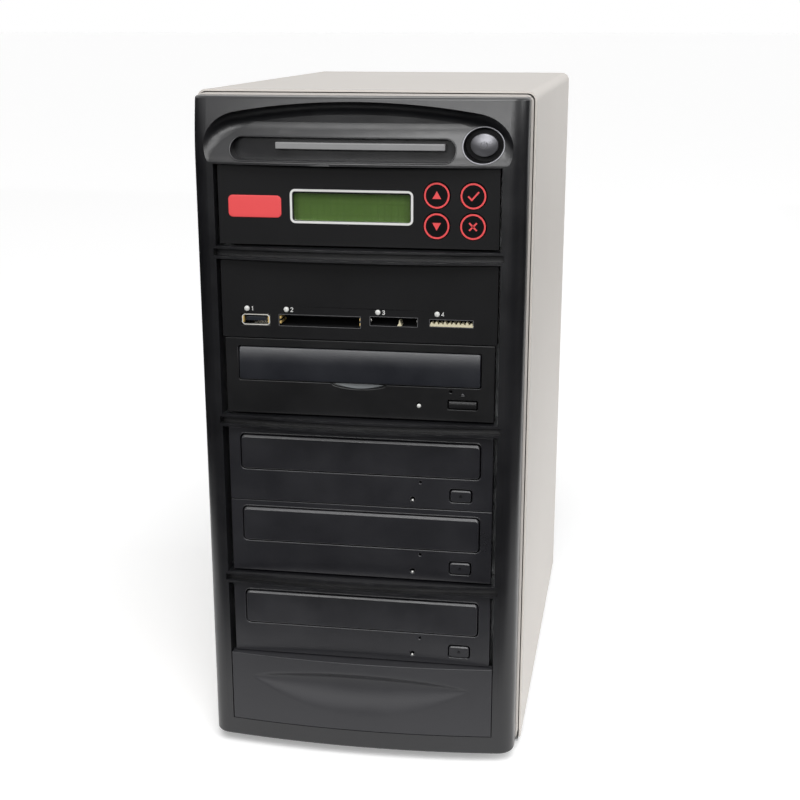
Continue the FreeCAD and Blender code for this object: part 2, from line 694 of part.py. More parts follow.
def arch_prism(name):
    """Block behind the arch line: a flat arc between two tangent shoulders."""
    half = number("bezel_half") - number("arch_rim")
    turn = number("arch_turn")
    top = number("crown_floor") + number("arch_rise")
    low = number("crown_floor") - number("scoop_lead")
    big = number("arch_radius")
    centre = top - big
    reach = math.sqrt((big - turn) ** 2 - (half - turn) ** 2)
    spring = centre + reach
    share = big / (big - turn)
    meet_x = (half - turn) * share
    meet_z = centre + reach * share
    slant = turn * math.sqrt(0.5)
    y = number("front_y") - number("bezel_depth")
    corners = [Vector(x, y, z) for x, z in ((-half, low), (half, low), (half, spring), (meet_x, meet_z),
                                            (-meet_x, meet_z), (-half, spring))]
    middles = {
        2: Vector(half - turn + slant, y, spring + slant),
        3: Vector(0, y, top),
        4: Vector(turn - half - slant, y, spring + slant),
    }
    outline = []
    for index, corner in enumerate(corners):
        following = corners[(index + 1) % len(corners)]
        if index in middles:
            outline.append(Part.Arc(corner, middles[index], following).toShape())
        else:
            outline.append(Part.LineSegment(corner, following).toShape())
    face = Part.Face(Part.Wire(outline))
    return shaped(name, face.extrude(Vector(0, 2 * number("bezel_depth"), 0)))


def bow(x):
    """How far the bow has fallen back at a place across the front."""
    radius = number("bow_radius")
    return radius - math.sqrt(radius ** 2 - x ** 2)


def lean(rise):
    """How far the crown has leaned back at a height above the bays."""
    radius = number("crown_lean")
    return radius - math.sqrt(radius ** 2 - rise ** 2)


def bowed_core(name):
    """Upright drum behind the front: the bow, which leans back along an arc above the bays."""
    radius = number("bow_radius")
    floor = number("crown_floor")
    rise = number("crown_height") + number("steel")
    half = rise / 2
    low = Vector(0, 0, 0)
    foot = Vector(radius, 0, 0)
    shoulder = Vector(radius, 0, floor)
    middle = Vector(radius - lean(half), 0, floor + half)
    brink = Vector(radius - lean(rise), 0, floor + rise)
    top = Vector(0, 0, floor + rise)
    outline = [
        Part.LineSegment(low, foot), Part.LineSegment(foot, shoulder), Part.Arc(shoulder, middle, brink),
        Part.LineSegment(brink, top), Part.LineSegment(top, low),
    ]
    face = Part.Face(Part.Wire([line.toShape() for line in outline]))
    drum = face.revolve(Vector(0, 0, 0), Vector(0, 0, 1), 360)
    return place(shaped(name, drum), "0", "bow_y", "0")


def crown_hill(name):
    """Drum that the scoop leaves standing: from below a steep lip, a roll, a ramp, an easing and the floor."""
    radius = number("bow_radius")
    floor = number("crown_floor")
    deep = number("scoop_depth")
    foot = number("scoop_foot")
    roll = number("lip_turn")
    ease = number("ramp_turn")
    fall = number("scoop_slope")
    lip_angle = math.atan(number("lip_slope"))
    fall_angle = math.atan(fall)

    def spot(rise, depth):
        return Vector(radius - depth, 0, floor + rise)

    def on_roll(angle):
        return foot + roll * (math.sin(angle) - math.sin(lip_angle)), roll * (math.cos(lip_angle) - math.cos(angle))

    rolled = on_roll(fall_angle)
    ramp_depth = deep - ease * (1 - math.cos(fall_angle))
    ramp_rise = rolled[0] + (ramp_depth - rolled[1]) / fall
    floor_rise = ramp_rise + ease * math.sin(fall_angle)

    def on_easing(angle):
        return floor_rise - ease * math.sin(angle), deep - ease * (1 - math.cos(angle))

    base = -2 * number("scoop_lead")
    brim = number("crown_height") + number("steel")
    start = spot(base, number("lip_slope") * (base - foot))
    end = spot(brim, deep)
    outline = [
        Part.LineSegment(Vector(0, 0, floor + base), start),
        Part.LineSegment(start, spot(foot, 0)),
        Part.Arc(spot(foot, 0), spot(*on_roll((lip_angle + fall_angle) / 2)), spot(*rolled)),
        Part.LineSegment(spot(*rolled), spot(ramp_rise, ramp_depth)),
        Part.Arc(spot(ramp_rise, ramp_depth), spot(*on_easing(fall_angle / 2)), spot(floor_rise, deep)),
        Part.LineSegment(spot(floor_rise, deep), end),
        Part.LineSegment(end, Vector(0, 0, floor + brim)),
        Part.LineSegment(Vector(0, 0, floor + brim), Vector(0, 0, floor + base)),
    ]
    face = Part.Face(Part.Wire([line.toShape() for line in outline]))
    drum = face.revolve(Vector(0, 0, 0), Vector(0, 0, 1), 360)
    return place(shaped(name, drum), "0", "bow_y", "0")


def crown_cutter():
    """Scoop of the crown: a coved wall under the arch line, a floor, and a ramp that rolls over a lip below."""
    raw = cut("crown_raw", arch_prism("crown_arch"), crown_hill("crown_hill"))
    settle(raw)
    front = number("front_y") - number("bezel_depth")

    def foot_of_wall(edge):
        room = edge.BoundBox
        level = room.ZMax - room.ZMin < 2 * CLOSE
        return room.YMin > front + CLOSE and not level
    cove = number("scoop_depth") - number("scoop_step")
    return dressed("Part::Fillet", "crown_scoop", raw, cove, foot_of_wall)


def make_bezel():
    """Bowed moulding with four bay openings, grooved dividers and the scooped crown."""
    slab = box(
        "bezel_slab", ("-bezel_half", "bezel_half"), ("front_y", "bezel_back"),
        ("foot_height", "bezel_top"),
    )
    bowed = common("bezel_bowed", slab, bowed_core("bezel_bow"))
    settle(bowed)
    edge_y = number("front_y") + bow(number("bezel_half")) + lean(number("crown_height"))
    straight = number("bezel_back") - edge_y
    corner = min(number("bezel_corner"), straight - number("steel"))
    corners = dressed(
        "Part::Fillet", "bezel_corners", bowed, corner,
        lambda edge: edge.BoundBox.XLength < CLOSE and edge.BoundBox.YMax < edge_y + CLOSE,
    )
    settle(corners)
    back = number("bezel_back")
    ends = (number("foot_height"), number("bezel_top"))
    rim = dressed(
        "Part::Fillet", "bezel_rim", corners, number("bezel_edge"),
        lambda edge: any(at_plane("z", end)(edge) for end in ends) and edge.BoundBox.YMin < back - CLOSE,
    )
    tools = []
    for pair, low, bays in (("low", "blank_floor", 2), ("middle", "writer_2_floor", 2),
                            ("high", "source_floor", 2), ("top", "panel_floor", 1)):
        tools.append(box(
            f"opening_{pair}", ("-bay_width / 2", "bay_width / 2"), ("front_y - steel", "bezel_back + steel"),
            (f"{low} - divider_gap * {0 if pair == 'low' else 1}",
             f"{low} + {bays} * bay_pitch + divider_gap * {0 if pair == 'top' else 1}"),
        ))
    opened = cut("bezel_opened", rim, *tools)
    grooves = [
        bow_tool(
            f"divider_groove_{low}", ("-bay_width / 2 - rib_overlap", "bay_width / 2 + rib_overlap"),
            (f"{low} - divider_height + divider_gap + rib_lip", f"{low} - divider_gap - rib_lip"),
            "rib_groove",
        )
        for low in ("writer_2_floor", "source_floor", "panel_floor")
    ]
    pockets = [
        box(
            f"pillar_pocket_{side}", span, ("face_y + face_thick", "bezel_back + steel"),
            ("foot_height + bezel_wall", "crown_floor - bezel_wall"),
        )
        for side, span in zip(
            ("left", "right"), mirrored_span("bay_width / 2 + bezel_wall", "bezel_half - bezel_wall"))
    ]
    crown_pocket = box(
        "crown_pocket", ("-bay_width / 2", "bay_width / 2"),
        ("front_y + scoop_depth + groove_depth", "bezel_back + steel"),
        ("crown_floor + bezel_wall", "bezel_top - bezel_wall"),
    )
    hollow = cut("bezel_hollow", opened, *grooves, *pockets, crown_pocket)
    scooped = cut("bezel_scooped", hollow, crown_cutter())
    groove_slot = rounded_box(
        "light_groove_slot", ("-groove_left", "groove_right"), ("front_y - steel", "face_y + groove_depth"),
        ("crown_floor + groove_low", "crown_floor + groove_low + groove_tall"),
        "y", (number("groove_tall") - SLOT_END) / 2,
    )
    groove_core = rod(
        "light_groove_core", "bow_radius - groove_depth", ("0", "bow_y", "0"), "case_top", "z",
    )
    light_groove = cut("light_groove", groove_slot, groove_core)
    bar_slot = box(
        "light_bar_slot", ("-bar_left - seat", "bar_right + seat"), ("front_y", "bezel_back + steel"),
        ("crown_floor + bar_low - seat", "crown_floor + bar_low + bar_tall + seat"),
    )
    well = oval(
        "power_well", "well_wide", "well_tall", ("well_x", "front_y - steel", "well_z"),
        "bezel_depth + 2 * steel",
    )
    grooved = cut("bezel_grooved", scooped, fuse("light_cutter", light_groove, bar_slot))
    return keep(cut("bezel_piece", grooved, well), "front_bezel")


def make_light_bar():
    """Translucent bar whose face follows the bow, set through the groove."""
    block = box(
        "bar_block", ("-bar_left", "bar_right"), ("front_y", "front_y + bar_front + bar_depth"),
        ("crown_floor + bar_low", "crown_floor + bar_low + bar_tall"),
    )
    core = rod("bar_core", "bow_radius - bar_front", ("0", "bow_y", "0"), "case_top", "z")
    return keep(common("bar_piece", block, core), "light_bar")


def make_power_button():
    """Domed oval button on a stem, and the switch housing that carries it in the well."""
    cap = oval("power_cap", "cap_wide", "cap_tall", ("well_x", "front_y + cap_front", "well_z"), "cap_thick")
    ball = doc.addObject("Part::Sphere", "power_ball")
    ball.setExpression("Radius", formula("cap_dome"))
    place(ball, "well_x", "front_y + cap_front + cap_dome", "well_z")
    stem = rod(
        "power_stem", "stem_radius", ("well_x", "cap_back", "well_z"),
        "power_travel + fit + switch_depth / 2", "y",
    )
    blank = fuse("power_blank", cap, stem)
    keep(common("power_button_piece", blank, ball), "power_button")
    housing = oval(
        "switch_housing", "well_wide - 2 * seat", "well_tall - 2 * seat",
        ("well_x", "switch_front", "well_z"), "switch_depth",
    )
    bore = rod(
        "switch_bore", "stem_radius + fit", ("well_x", "switch_front - fit", "well_z"),
        "fit + switch_depth / 2 + power_travel + 2 * fit", "y",
    )
    return keep(cut("power_switch_piece", housing, bore), "power_switch")


def ears(name, floor, start):
    """Side ears that hold a panel in the cage."""
    return [
        box(f"{name}_ear_{side}", span, (start, f"{start} + ear_length"),
            (f"{floor} + ear_low", f"{floor} + ear_low + ear_tall"))
        for side, span in zip(("left", "right"), mirrored_span("ear_in", "can_half"))
    ]


KEYS = (
    ("up_key", "key_left", "key_high"),
    ("enter_key", "key_right", "key_high"),
    ("down_key", "key_left", "key_low"),
    ("escape_key", "key_right", "key_low"),
)


def make_control_panel():
    """Panel with a display window and four round keys."""
    face = box(
        "panel_face", ("-plate_half", "plate_half"), ("face_y", "plate_back"),
        ("panel_floor + face_gap", "panel_floor + bay_pitch - 2 * face_gap"),
    )
    plate = fuse("panel_plate", face, *ears("panel", "panel_floor", "plate_back"))
    window = rounded_box(
        "panel_window", ("-window_left", "window_right"), ("face_y - steel", "plate_back + steel"),
        ("panel_floor + window_low", "panel_floor + window_high"), "y", number("shank_radius"),
    )
    holes = [
        rod(f"{key}_hole", "key_radius + fit", (x, "face_y - steel", f"panel_floor + {z}"),
            "plate + 2 * steel", "y")
        for key, x, z in KEYS
    ]
    keep(cut("panel_piece", plate, window, *holes), "control_panel")
    pane = rounded_box(
        "pane", ("seat - window_left", "window_right - seat"),
        ("face_y + pane_setback", "face_y + pane_setback + pane_thick"),
        ("panel_floor + window_low + seat", "panel_floor + window_high - seat"), "y",
        number("shank_radius") - number("seat"),
    )
    keep(pane, "lcd_window")
    module = box(
        "display_body", ("-window_left - display_rim", "window_right + display_rim"),
        ("plate_back", "face_y + board_gap"),
        ("panel_floor + window_low - display_rim", "panel_floor + window_high + display_rim"),
    )
    keep(module, "lcd_module")
    for key, x, z in KEYS:
        height = f"panel_floor + {z}"
        cap = rod(
            f"{key}_cap", "key_radius", (x, "face_y - key_proud", height),
            "key_proud + plate + 2 * fit", "y",
        )
        collar = box(
            f"{key}_collar", (f"{x} - key_collar", f"{x} + key_collar"), ("plate_back + fit", "key_end"),
            (f"{height} - key_collar", f"{height} + key_collar"),
        )
        keep(fuse(f"{key}_piece", cap, collar), key)


def make_boards():
    """Key board behind the panel, controller board behind it, board of the card reader."""
    front = "face_y + board_gap"
    across = ("-ear_in", "ear_in")
    upright = box(
        "key_board", across, (front, f"{front} + board"),
        ("panel_floor + ear_low", "panel_floor + ear_low + ear_tall"),
    )
    switches = [
        box(f"{key}_contact", (f"{x} - stem_radius", f"{x} + stem_radius"),
            ("key_end + key_travel + fit", front),
            (f"panel_floor + {z} - stem_radius", f"panel_floor + {z} + stem_radius"))
        for key, x, z in KEYS
    ]
    boards = [fuse("key_board_piece", upright, *switches)]
    for which, floor, start in (("controller", "panel_floor", "face_y + board_setback"),
                                ("reader", "reader_floor", "plate_back")):
        level = f"{floor} + board_level - board"
        end = f"{start} + board_depth - chip_margin"
        flat = box(f"{which}_board", across, (start, f"{start} + board_depth"), (level, f"{level} + board"))
        chips = [
            box(f"{which}_chip_{side}", (x, f"{x} + chip_side"), (f"{end} - chip_side", end),
                (f"{level} + board", f"{level} + board + chip_height"))
            for side, x in (("left", "-chip_spread - chip_side"), ("right", "chip_spread"))
        ]
        boards.append(fuse(f"{which}_board_piece", flat, *chips))
    return keep(group("boards_piece", *boards), "circuit_boards")


CARDS = ("cf", "sd", "ms")


def make_reader():
    """Card reader: panel with slots, sockets behind them, four status lamps."""
    face = box(
        "reader_face", ("-plate_half", "plate_half"), ("face_y", "plate_back"),
        ("reader_floor + face_gap", "reader_floor + bay_pitch - face_gap"),
    )
    plate = fuse("reader_plate", face, *ears("reader", "reader_floor", "plate_back"))

    def slot_room(name, slot, wall, y):
        return box(
            name, (f"{slot}_left - {wall}", f"{slot}_right + {wall}"), y,
            (f"reader_floor + {slot}_low - {wall}", f"reader_floor + {slot}_high + {wall}"),
        )
    through = ("face_y - steel", "plate_back + steel")
    slots = [slot_room(f"{slot}_opening", slot, "0", through) for slot in ("usb",) + CARDS]
    lamp_holes = [
        rod(f"lamp_hole_{index}", "led_radius + seat",
            (f"led_{index}", "face_y - steel", "reader_floor + led_level"), "plate + 2 * steel", "y")
        for index in (1, 2, 3, 4)
    ]
    keep(cut("reader_piece", plate, *slots, *lamp_holes), "reader_panel")
    lamps = [
        rod(f"lamp_{index}", "led_radius", (f"led_{index}", "face_y - seat", "reader_floor + led_level"),
            "plate + seat", "y")
        for index in (1, 2, 3, 4)
    ]
    keep(group("lamps_piece", *lamps), "status_leds")

    board_top = "reader_floor + board_level"
    shell_outer = slot_room("usb_outer", "usb", "-seat", ("face_y + steel", "plate_back + socket_depth / 2"))
    shell_inner = slot_room(
        "usb_inner", "usb", "-seat - shell_wall", ("face_y", "plate_back + socket_depth / 2 - shell_wall"))
    can = cut("usb_can", shell_outer, shell_inner)
    tongue = box(
        "usb_tongue", ("usb_left + 2 * steel", "usb_right - 2 * steel"),
        ("face_y + 2 * steel", "plate_back + socket_depth / 2"),
        ("reader_floor + usb_high - 2 * steel - tongue", "reader_floor + usb_high - 2 * steel"),
    )
    foot = box(
        "usb_foot", ("usb_left + steel", "usb_right - steel"),
        ("plate_back", "plate_back + socket_depth / 2"),
        (board_top, "reader_floor + usb_low + seat + shell_wall"),
    )
    keep(fuse("usb_piece", can, tongue, foot), "usb_socket")
    bodies = []
    for slot in CARDS:
        body = box(
            f"{slot}_body", (f"{slot}_left - socket_wall", f"{slot}_right + socket_wall"),
            ("plate_back", "plate_back + socket_depth"),
            (board_top, f"reader_floor + {slot}_high + socket_wall"),
        )
        room = slot_room(f"{slot}_room", slot, "0", ("face_y", "plate_back + socket_depth - 3 * socket_wall"))
        bodies.append(cut(f"{slot}_socket", body, room))
    return keep(group("sockets_piece", *bodies), "card_sockets")


def make_blank():
    """Blanking plate that carries the bow on, with a lens-shaped finger scoop."""
    half = "bay_width / 2 - blank_side"
    block = box(
        "blank_block", (f"-({half})", half), ("front_y", "plate_back"),
        ("blank_floor + face_gap", "blank_floor + bay_pitch - face_gap"),
    )
    core = rod("blank_core", "bow_radius", ("0", "bow_y", "0"), "case_top", "z")
    bowed = common("blank_bowed", block, core)
    hollow = oval_hollow(
        "pull_hollow", "pull_half", "pull_depth", "pull_ends - pull_low",
        ("0", "front_y", "blank_floor + pull_ends"),
    )
    rise = "(pull_top - pull_ends)"
    brow_radius = f"(pull_half ^ 2 + {rise} ^ 2) / (2 * {rise})"
    brow = rod(
        "pull_brow", brow_radius, ("0", "front_y - bezel_depth", f"blank_floor + pull_top - {brow_radius}"),
        "2 * bezel_depth", "y",
    )
    pull = common("blank_scoop", hollow, brow)
    scooped = cut("blank_scooped", bowed, pull)
    held = fuse("blank_piece", scooped, *ears("blank", "blank_floor", "plate_back"))
    return keep(held, "blank_cover")


# Disc drives


def comb(length, pitch, tip, root, thick_tip, thick_root):
    """Outline of a rack: straight-flanked teeth, tips at `tip` and roots at `root` across X."""
    points = [Vector(root, 0, 0)]
    for tooth in range(int(length / pitch)):
        middle = (tooth + 0.5) * pitch
        points += [
            Vector(root, middle - thick_root / 2, 0),
            Vector(tip, middle - thick_tip / 2, 0),
            Vector(tip, middle + thick_tip / 2, 0),
            Vector(root, middle + thick_root / 2, 0),
        ]
    points.append(Vector(root, length, 0))
    return points


def tooth_sizes():
    """Height and thickness of the teeth that rack and gear share."""
    module = number("gear_module")
    play = number("gear_play")
    half_pitch = math.pi * module / 2 - 2 * play
    lean = 2 * math.tan(math.radians(number("tooth_flank"))) * module
    return module, half_pitch - number("tooth_tip") * lean, half_pitch + lean


def make_rack(name, floor):
    """Rack under the right side of a tray, teeth towards the middle."""
    module, thick_tip, thick_root = tooth_sizes()
    pitch = math.pi * module
    line = number("rack_line")
    length = number("tray_length") - number("disc_margin") / 2
    tip = line - number("tooth_tip") * module
    root = line + module
    points = comb(length, pitch, tip, root, thick_tip, thick_root)
    back = root + number("rack_back")
    points += [Vector(back, length, 0), Vector(back, 0, 0), points[0]]
    wire = Part.makePolygon(points)
    drop = number("rack_drop")
    level = number(floor) + number("tray_level") - drop
    rack = Part.Face(wire).extrude(Vector(0, 0, drop))
    rack.translate(Vector(0, number("tray_front"), level))
    return shaped(name, rack)


def rack_phase():
    """Turn of the gear, in radians, that sets a gap between teeth on the nearest rack tooth."""
    pitch = math.pi * number("gear_module")
    tooth = number("gear_inset") / pitch - 0.5
    return (tooth - math.floor(tooth)) * 2 * math.pi / number("gear_teeth")


def make_gear(name, floor):
    """Loading gear with straight-flanked teeth on an upright pin."""
    module, thick_tip, thick_root = tooth_sizes()
    teeth = int(number("gear_teeth"))
    radius = number("gear_radius")
    tip = radius + number("tooth_tip") * module
    root = radius - module
    step = 2 * math.pi / teeth
    start = -rack_phase() + step / 2
    points = []
    for tooth in range(teeth):
        middle = start + tooth * step
        for reach, thick in ((root, -thick_root), (tip, -thick_tip), (tip, thick_tip), (root, thick_root)):
            angle = middle + thick / 2 / radius
            points.append(Vector(reach * math.cos(angle), reach * math.sin(angle), 0))
    points.append(points[0])
    height = number("gear_height")
    wheel = Part.Face(Part.makePolygon(points)).extrude(Vector(0, 0, height))
    bore = Part.makeCylinder(number("pin_radius") + number("fit"), height)
    gear = shaped(name, wheel.cut(bore))
    return place(gear, "gear_x", "gear_y", f"{floor} + tray_level - fit - gear_height")


def make_tray(name, floor):
    """Disc tray: plate with two wells, a pickup slot and the rack below."""
    low = f"{floor} + tray_level"
    top = f"{low} + tray_height"
    plate = rounded_box(
        f"{name}_tray_plate", ("-tray_half", "tray_half"), ("tray_front", "tray_front + tray_length"),
        (low, top), "z", number("disc_margin") / 2,
    )
    well = rod(f"{name}_well", "disc_radius", ("0", "disc_y", f"{top} - disc_depth"), "2 * disc_depth", "z")
    small = rod(
        f"{name}_small_well", "small_radius", ("0", "disc_y", f"{top} - disc_depth - small_depth"),
        "2 * disc_depth", "z",
    )
    slot = rounded_box(
        f"{name}_slot", ("-slot_half", "slot_half"), ("disc_y - slot_half", "disc_y + slot_length"),
        (f"{low} - steel", top), "z", number("slot_half") - SLOT_END / 2,
    )
    hollow = cut(f"{name}_tray_hollow", plate, fuse(f"{name}_wells", well, small, slot))
    rack = make_rack(f"{name}_rack", floor)
    return keep(fuse(f"{name}_tray_piece", hollow, rack), f"{name}_tray")


def finger_notch(name, floor):
    """Shallow half-oval hollow under the tray front of the source drive."""
    top = "source_door_low - door_gap"
    return oval_hollow(
        name, "notch_half", "notch_depth", f"{top} - notch_low", ("0", "face_y", f"{floor} + {top}"),
    )


def make_drive(name, style):
    """One disc drive: can, face, tray with its front, eject button, gear and turntable."""
    floor = f"{name}_floor"
    half = "bay_width / 2 - face_side"
    can_low = f"{floor} + can_lift"

    def room(piece, extra, y):
        return rounded_box(
            piece, (f"-{style}_door_half - {extra}", f"{style}_door_half + {extra}"), y,
            (f"{floor} + {style}_door_low - {extra}", f"{floor} + {style}_door_high + {extra}"),
            "y", number(f"{style}_door_round"),
        )

    def button_room(piece, extra, y):
        left = f"{style}_button_x"
        low = f"{floor} + {style}_button_z"
        return rounded_box(
            piece, (f"{left} - {extra}", f"{left} + {style}_button_wide + {extra}"), y,
            (f"{low} - {extra}", f"{low} + {style}_button_tall + {extra}"),
            "y", number(f"{style}_button_round"),
        )

    face = box(
        f"{name}_face", (f"-({half})", half), ("face_y", "can_front"),
        (f"{floor} + face_gap", f"{floor} + bay_pitch - face_gap"),
    )
    through = ("face_y - steel", "can_front + steel")
    lamp = rod(
        f"{name}_lamp_hole", "lamp_radius",
        (f"{style}_lamp_x", "face_y - steel", f"{floor} + {style}_lamp_z"), "face_thick + 2 * steel", "y",
    )
    pinhole = rod(
        f"{name}_pinhole", "pinhole_radius",
        (f"{style}_pin_x", "face_y - steel", f"{floor} + {style}_pin_z"), "face_thick + 2 * steel", "y",
    )
    pierced = cut(
        f"{name}_pierced", face, room(f"{name}_mouth", "door_gap", through),
        button_room(f"{name}_button_hole", "fit", through), lamp, pinhole,
    )
    if style == "source":
        pierced = cut(f"{name}_notched", pierced, finger_notch(f"{name}_notch", floor))
    keep(pierced, f"{name}_bezel")

    outer = box(f"{name}_can_outer", ("-can_half", "can_half"), ("can_front", "can_back"),
                (can_low, f"{can_low} + can_height"))
    inner = box(
        f"{name}_can_inner", ("can_wall - can_half", "can_half - can_wall"),
        ("can_front - steel", "can_back - can_wall"),
        (f"{can_low} + can_wall", f"{can_low} + can_height - can_wall"),
    )
    keep(cut(f"{name}_can_piece", outer, inner), f"{name}_case")

    door = room(f"{name}_door", "0", ("face_y - door_proud", "tray_front"))
    settle(door)
    front = number("face_y") - number("door_proud")
    keep(
        dressed("Part::Chamfer", f"{name}_door_piece", door, number("door_bevel"), at_plane("y", front)),
        f"{name}_tray_front",
    )
    make_tray(name, floor)

    button = button_room(f"{name}_button", "0", ("face_y - button_proud", "can_front + fit + button_collar"))
    collar = button_room(
        f"{name}_collar", "button_collar", ("can_front + fit", "can_front + fit + button_collar"))
    keep(fuse(f"{name}_button_piece", button, collar), f"{name}_eject_button")
    keep(make_gear(f"{name}_gear", floor), f"{name}_loading_gear")

    seat_level = f"{floor} + tray_level - fit - hub_height - platter_thick"
    table = rod(f"{name}_table", "platter_radius", ("0", "disc_y", seat_level), "platter_thick", "z")
    hub = rod(f"{name}_hub", "hub_radius", ("0", "disc_y", seat_level), "platter_thick + hub_height", "z")
    keep(fuse(f"{name}_spindle_piece", table, hub), f"{name}_spindle")


def make_deck(name):
    """Loader of one drive: floor, tray rails, pin of the gear, motor and pickup."""
    floor = f"{name}_floor"
    base = f"{floor} + can_lift + can_wall"
    top = f"{base} + deck_thick"
    start = "can_front + deck_setback"
    end = "can_back - can_wall"
    under = f"{floor} + tray_level - fit"
    slab = box(
        f"{name}_deck_floor", ("can_wall - can_half", "can_half - can_wall"), (start, end), (base, top))
    rails = [
        box(f"{name}_rail_{side}", span, (start, end), (base, under))
        for side, span in zip(
            ("left", "right"), mirrored_span("tray_half + fit - rail_width", "tray_half + fit"))
    ]
    pin = rod(f"{name}_pin", "pin_radius", ("gear_x", "gear_y", base), f"{under} - fit - ({base})", "z")
    motor_top = f"{under} - hub_height - platter_thick - fit"
    motor = rod(
        f"{name}_motor", "platter_radius - pin_radius", ("0", "disc_y", base), f"{motor_top} - ({base})", "z")
    pickup = box(
        f"{name}_pickup", ("-slot_half", "slot_half"),
        ("disc_y + platter_radius + pin_radius", "disc_y + platter_radius + slot_half"),
        (base, f"{motor_top}"),
    )
    return fuse(f"{name}_deck", slab, *rails, pin, motor, pickup)


DRIVES = (("source", "source"), ("writer_1", "writer"), ("writer_2", "writer"), ("writer_3", "writer"))


# Fans, supply and back panel


def grille(name, x, z, y):
    """Ring-shaped slots of a punched fan grille, with four spokes left standing."""
    bars = [
        box(f"{name}_bar_{way}", (f"{x} - {wide}", f"{x} + {wide}"), y, (f"{z} - {tall}", f"{z} + {tall}"))
        for way, wide, tall in (("upright", "spider / 2", "fan_size"), ("level", "fan_size", "spider / 2"))
    ]
    spokes = fuse(f"{name}_spokes", *bars)
    slots = []
    for ring in range(int(number("grille_rings"))):
        outside = f"rotor_tip - {ring} * (rotor_tip - shank_length) / grille_rings"
        inside = f"{outside} - (rotor_tip - shank_length) / grille_rings + grille_wire"
        start = (x, y[0], z)
        length = f"({y[1]}) - ({y[0]})"
        disc = rod(f"{name}_disc_{ring}", outside, start, length, "y")
        core = rod(f"{name}_core_{ring}", inside, start, length, "y")
        slots.append(cut(f"{name}_slot_{ring}", cut(f"{name}_ring_{ring}", disc, core), spokes))
    return slots


def spider_plate(name, x, z, y):
    """Motor plate of a fan with four arms out to its frame, and the axle pin behind it."""
    plate = rod(f"{name}_motor_plate", "rotor_hub", (x, y, z), "spider", "y")
    arms = [
        box(f"{name}_arm_{way}", (f"{x} - {wide}", f"{x} + {wide}"), (y, f"{y} + spider"),
            (f"{z} - {tall}", f"{z} + {tall}"))
        for way, wide, tall in (
            ("upright", "spider / 2", "fan_bore + steel"), ("level", "fan_bore + steel", "spider / 2"))
    ]
    axle = rod(f"{name}_axle", "axle_radius", (x, y, z), "spider + fit + rotor_depth / 2", "y")
    return [plate, *arms, axle]


def make_rotor(name, x, z, y, node):
    """Fan rotor: a hub with pitched blades."""
    hub = rod(f"{name}_hub", "rotor_hub", (x, y, z), "rotor_depth", "y")
    sweep = rod(f"{name}_sweep", "rotor_tip", (x, y, z), "rotor_depth", "y")
    root = number("rotor_hub") - number("spider")
    length = number("rotor_tip") - root + number("spider")
    chord = number("blade_chord")
    thick = number("blade_thick")
    count = int(number("blades"))
    blades = []
    for blade in range(count):
        fin = Part.makeBox(length, thick, chord, Vector(root, -thick / 2, -chord / 2))
        fin.rotate(Vector(), Vector(1, 0, 0), 90 - number("blade_pitch"))
        fin.rotate(Vector(), Vector(0, 1, 0), 360 * blade / count)
        blades.append(fin)
    fan = shaped(f"{name}_blades", Part.makeCompound(blades))
    place(fan, x, f"{y} + rotor_depth / 2", z)
    trimmed = common(f"{name}_trimmed", fan, sweep)
    whole = fuse(f"{name}_whole", hub, trimmed)
    bore = rod(f"{name}_bore", "axle_radius + fit", (x, f"{y} - fit", z), "rotor_depth / 2 + 3 * fit", "y")
    return keep(cut(f"{name}_piece", whole, bore), node)


def make_exhaust_fan():
    """Fan on the inside of the back panel."""
    half = "fan_size / 2"
    start = "panel_in - fan_depth"
    block = rounded_box(
        "fan_block", (f"-{half}", half), (start, "panel_in"), (f"fan_level - {half}", f"fan_level + {half}"),
        "y", number("bend_radius"),
    )
    duct = rod("fan_duct", "fan_bore", ("0", f"{start} - steel", "fan_level"), "fan_depth + 2 * steel", "y")
    ring = cut("fan_ring", block, duct)
    frame = fuse("fan_frame_whole", ring, *spider_plate("fan", "0", "fan_level", start))
    keep(cut("fan_frame_piece", frame, *screw_holes("fan_frame_hole", FAN_SCREWS)), "exhaust_fan_frame")


def block(name, x, z, half_wide, low, high, y):
    """A block centred across X on one line, between two heights measured from another."""
    across = (f"{x} - ({half_wide})", f"{x} + ({half_wide})")
    return box(name, across, y, (f"{z} - ({low})", f"{z} + ({high})"))


INLET_LOW = "inlet_tall / 2 + rocker_tall + inlet_wall"
INLET_HIGH = "inlet_tall / 2"


